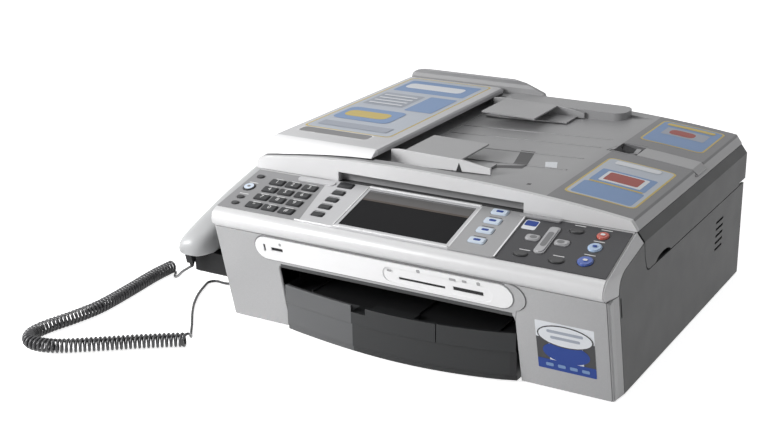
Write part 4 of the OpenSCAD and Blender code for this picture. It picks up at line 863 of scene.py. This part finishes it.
# -------------------------------------------------------------- front and feeder
BEZEL = (45.2, 77.7, 311.8, 103.3) # left, bottom, right and top of the card bezel
BEZEL_CORNER, BEZEL_STEPS = 12.7, 10
BEZEL_FACE = 1.7                   # places in front of the front's plane
SLOT_FLOOR, JOINT_FLOOR, BROW_LIFT = 0.4, 0.5, 0.02
JOINT_R, JOINT_SIDES = 0.55, 6
SIGN_CORNER = 0.3                  # times the sign's smaller side
GUIDE_Y = 108                      # the front guide's wall
SUNK_CELLS = 5
SUNK_LIFT, STRIP_LIFT = 0.1, 0.2   # of the patches in the feeder's tray


def slot_signs():
    """Plain signs by the card slots and the camera port."""
    for i, (x, s, w, h) in enumerate(((221, 99.2, 3.4, 3.4), (254.5, 97.9, 6.5, 2.6),
                                      (266, 98.3, 4.4, 2.6), (279.5, 98.8, 3.4, 3.6),
                                      (75, 97.4, 2.6, 3), (191, 94, 4.4, 2.2))):
        sign = rounded(x - w / 2, s - h / 2, x + w / 2, s + h / 2, min(w, h) * SIGN_CORNER,
                       MARK_STEPS)
        flat(f"slot_sign_{i + 1}", sign, on_front, BEZEL_FACE, "guide")


def slot_linings():
    """Black linings in the bezel's slots, behind its face."""
    for i, (x0, s0, x1, s1) in enumerate(((200, 85.9, 246, 88.5), (254, 86.5, 283, 90.4),
                                          (64, 89, 77, 92.9), (55.5, 87, 57.7, 95))):
        flat(f"slot_lining_{i + 1}", [(x0, s0), (x1, s0), (x1, s1), (x0, s1)], on_front,
             SLOT_FLOOR, "black")


def guide_notch():
    """The dark notch in the front guide's wall."""
    plate("guide_notch", [(199.6, 152.8), (206.2, 152.8), (202.6, 161.6)],
          lambda x, z, n: at(x, GUIDE_Y - n, z), 0, 2 * PRINT_THICK, "dark", "front_guide")


def bezel_joint():
    """The shadow joint round the bezel."""
    ring = rounded(*BEZEL, BEZEL_CORNER, BEZEL_STEPS)
    tube("bezel_joint", [on_front(x, s, JOINT_FLOOR) for x, s in ring + ring[:1]], JOINT_R,
         "grey", "chassis", JOINT_SIDES)


def mouth_brow():
    """The dark edge above the tray's mouth."""
    flat("mouth_brow", [(70, 70.6), (308, 70.6), (308, 74.4), (70, 74.4)], on_front,
         BROW_LIFT, "charcoal")


def sunk(name, corners, look, lift=SUNK_LIFT):
    """A thin patch on the lid with its corners at the given (x, y) places."""
    (ax, ay), (bx, by), (cx, cy), (dx, dy) = corners
    points = []
    for j in range(SUNK_CELLS + 1):
        v = j / SUNK_CELLS
        for k in range(SUNK_CELLS + 1):
            u = k / SUNK_CELLS
            x = (ax + (bx - ax) * u) * (1 - v) + (dx + (cx - dx) * u) * v
            y = (ay + (by - ay) * u) * (1 - v) + (dy + (cy - dy) * u) * v
            points.append(surface("document_cover", at, x, y, lift))
    piece(name, points, grid_faces(SUNK_CELLS, SUNK_CELLS), look, "lid")


def tray_details():
    """Dark patches of painted shade for slots and recesses, a pale tab and a dot in the
    feeder's tray.
    """
    # painted shade: flat dark patches stand in for the shade inside the slots and the recess
    sunk("tray_slot_long", ((238, 150), (252, 150), (240, 196), (225, 196)), "dark")
    sunk("tray_slot_foot", ((222, 132), (252, 140), (252, 150), (226, 142)), "dark")
    sunk("tray_tab", ((271, 149), (282, 151), (274, 171), (263, 168)), "paper_white")
    sunk("tray_dot", ((276.5, 96), (280.5, 96), (280.5, 100), (276.5, 100)), "dark")
    sunk("stop_recess", ((300, 226), (322, 226), (330, 262), (308, 258)), "dark")
    sunk("stop_recess_light", ((303, 228), (306, 228), (327, 259), (322, 259)), "guide",
         STRIP_LIFT)


# ------------------------------------------------------------- camera and light
# places and sizes of this section are in the frame's metres
EYE = Vector((0.5932, -1.13416, 0.5319))
AZIMUTH, ELEVATION, ROLL = (math.radians(a) for a in (30.8994, 19.4373, 0.9076))
LENS, SENSOR = 63.25, 36.0         # these two in millimetres
NEAREST, FARTHEST = 0.05, 30.0
# each lamp's name, place, target, size and watts
LAMPS = [("key", (-0.88, -0.92, 0.60), (-0.05, 0, 0.05), 0.6, 18),
         ("top", (-0.3, 0.2, 2.4), (0, 0, 0.1), 1.8, 12),
         ("fill", (2.2, -1.2, 0.9), (0, 0, 0.05), 1.6, 2)]
WHITE = (1, 1, 1, 1)
ROOM_GREY = (0.21, 0.21, 0.215, 1) # the world's light on the object
FLOOR_GREY = (0.8, 0.8, 0.8, 1)
FLOOR_LIFT = 0.84                  # keeps the lit floor white and its shadows soft
FLOOR_REACH = 6.0                  # half the floor's side


def aim_camera():
    """The camera of the scene, at the object's usual viewing angle."""
    data = bpy.data.cameras.new("camera")
    data.lens, data.sensor_width = LENS, SENSOR
    data.clip_start, data.clip_end = NEAREST, FARTHEST
    obj = put("camera", data)
    turn = (Matrix.Rotation(AZIMUTH, 4, "Z")
            @ Matrix.Rotation(math.pi / 2 - ELEVATION, 4, "X")
            @ Matrix.Rotation(-ROLL, 4, "Z"))
    obj.matrix_world = Matrix.Translation(EYE) @ turn
    bpy.context.scene.camera = obj


def lamp(name, place, target, size, watts):
    """A round soft lamp that looks at its target."""
    data = bpy.data.lights.new(name, "AREA")
    data.shape, data.size, data.energy = "DISK", size, watts
    obj = put(name, data)
    obj.location = place
    way = Vector(target) - Vector(place)
    obj.rotation_euler = way.to_track_quat("-Z", "Y").to_euler()


def seen(tree):
    """1 for camera, glossy and transmission rays, 0 for the light that falls on things."""
    path = tree.nodes.new("ShaderNodeLightPath")
    most = path.outputs["Is Camera Ray"]
    for kind in ("Is Glossy Ray", "Is Transmission Ray"):
        node = tree.nodes.new("ShaderNodeMath")
        node.operation = "MAXIMUM"
        tree.links.new(most, node.inputs[0])
        tree.links.new(path.outputs[kind], node.inputs[1])
        most = node.outputs[0]
    return most


def light_room():
    """A world that is white where it is seen and grey where it lights the object."""
    world = bpy.data.worlds.new("studio")
    world.use_nodes = True
    bpy.context.scene.world = world
    tree = world.node_tree
    mix = tree.nodes.new("ShaderNodeMix")
    mix.data_type = "RGBA"
    mix.inputs[MIX_A].default_value = ROOM_GREY
    mix.inputs[MIX_B].default_value = WHITE
    tree.links.new(seen(tree), mix.inputs["Factor"])
    tree.links.new(mix.outputs[MIX_OUT], tree.nodes["Background"].inputs["Color"])


def lay_floor():
    """A pale floor that is lifted to white where it is seen and keeps its shadows."""
    r = FLOOR_REACH
    data = bpy.data.meshes.new("floor")
    data.from_pydata([(-r, -r, 0), (r, -r, 0), (r, r, 0), (-r, r, 0)], [], [[0, 1, 2, 3]])
    floor = put("floor", data)
    s = Shader("floor")
    s.set(Base_Color=FLOOR_GREY, Roughness=0.9, Specular_IOR_Level=0.1, Emission_Color=WHITE)
    lift = s.add("ShaderNodeMath", operation="MULTIPLY")
    lift.inputs[1].default_value = FLOOR_LIFT
    s.link(seen(s.tree), lift.inputs[0])
    s.link(lift.outputs[0], s.bsdf.inputs["Emission Strength"])
    data.materials.append(s.material)


def studio():
    """The world, the floor and the lamps."""
    bpy.context.scene.view_settings.view_transform = "Standard"
    light_room()
    lay_floor()
    for name, place, target, size, watts in LAMPS:
        lamp(name, place, target, size, watts)


for make in (aim_camera, dress_nodes, handset_cord, feeder_label, lid_labels, name_plate,
             ink_label, panel_label, key_marks, key_inlays, display_bands, bright_rails,
             slot_signs, slot_linings, guide_notch, bezel_joint, mouth_brow, tray_details,
             studio):
    make()
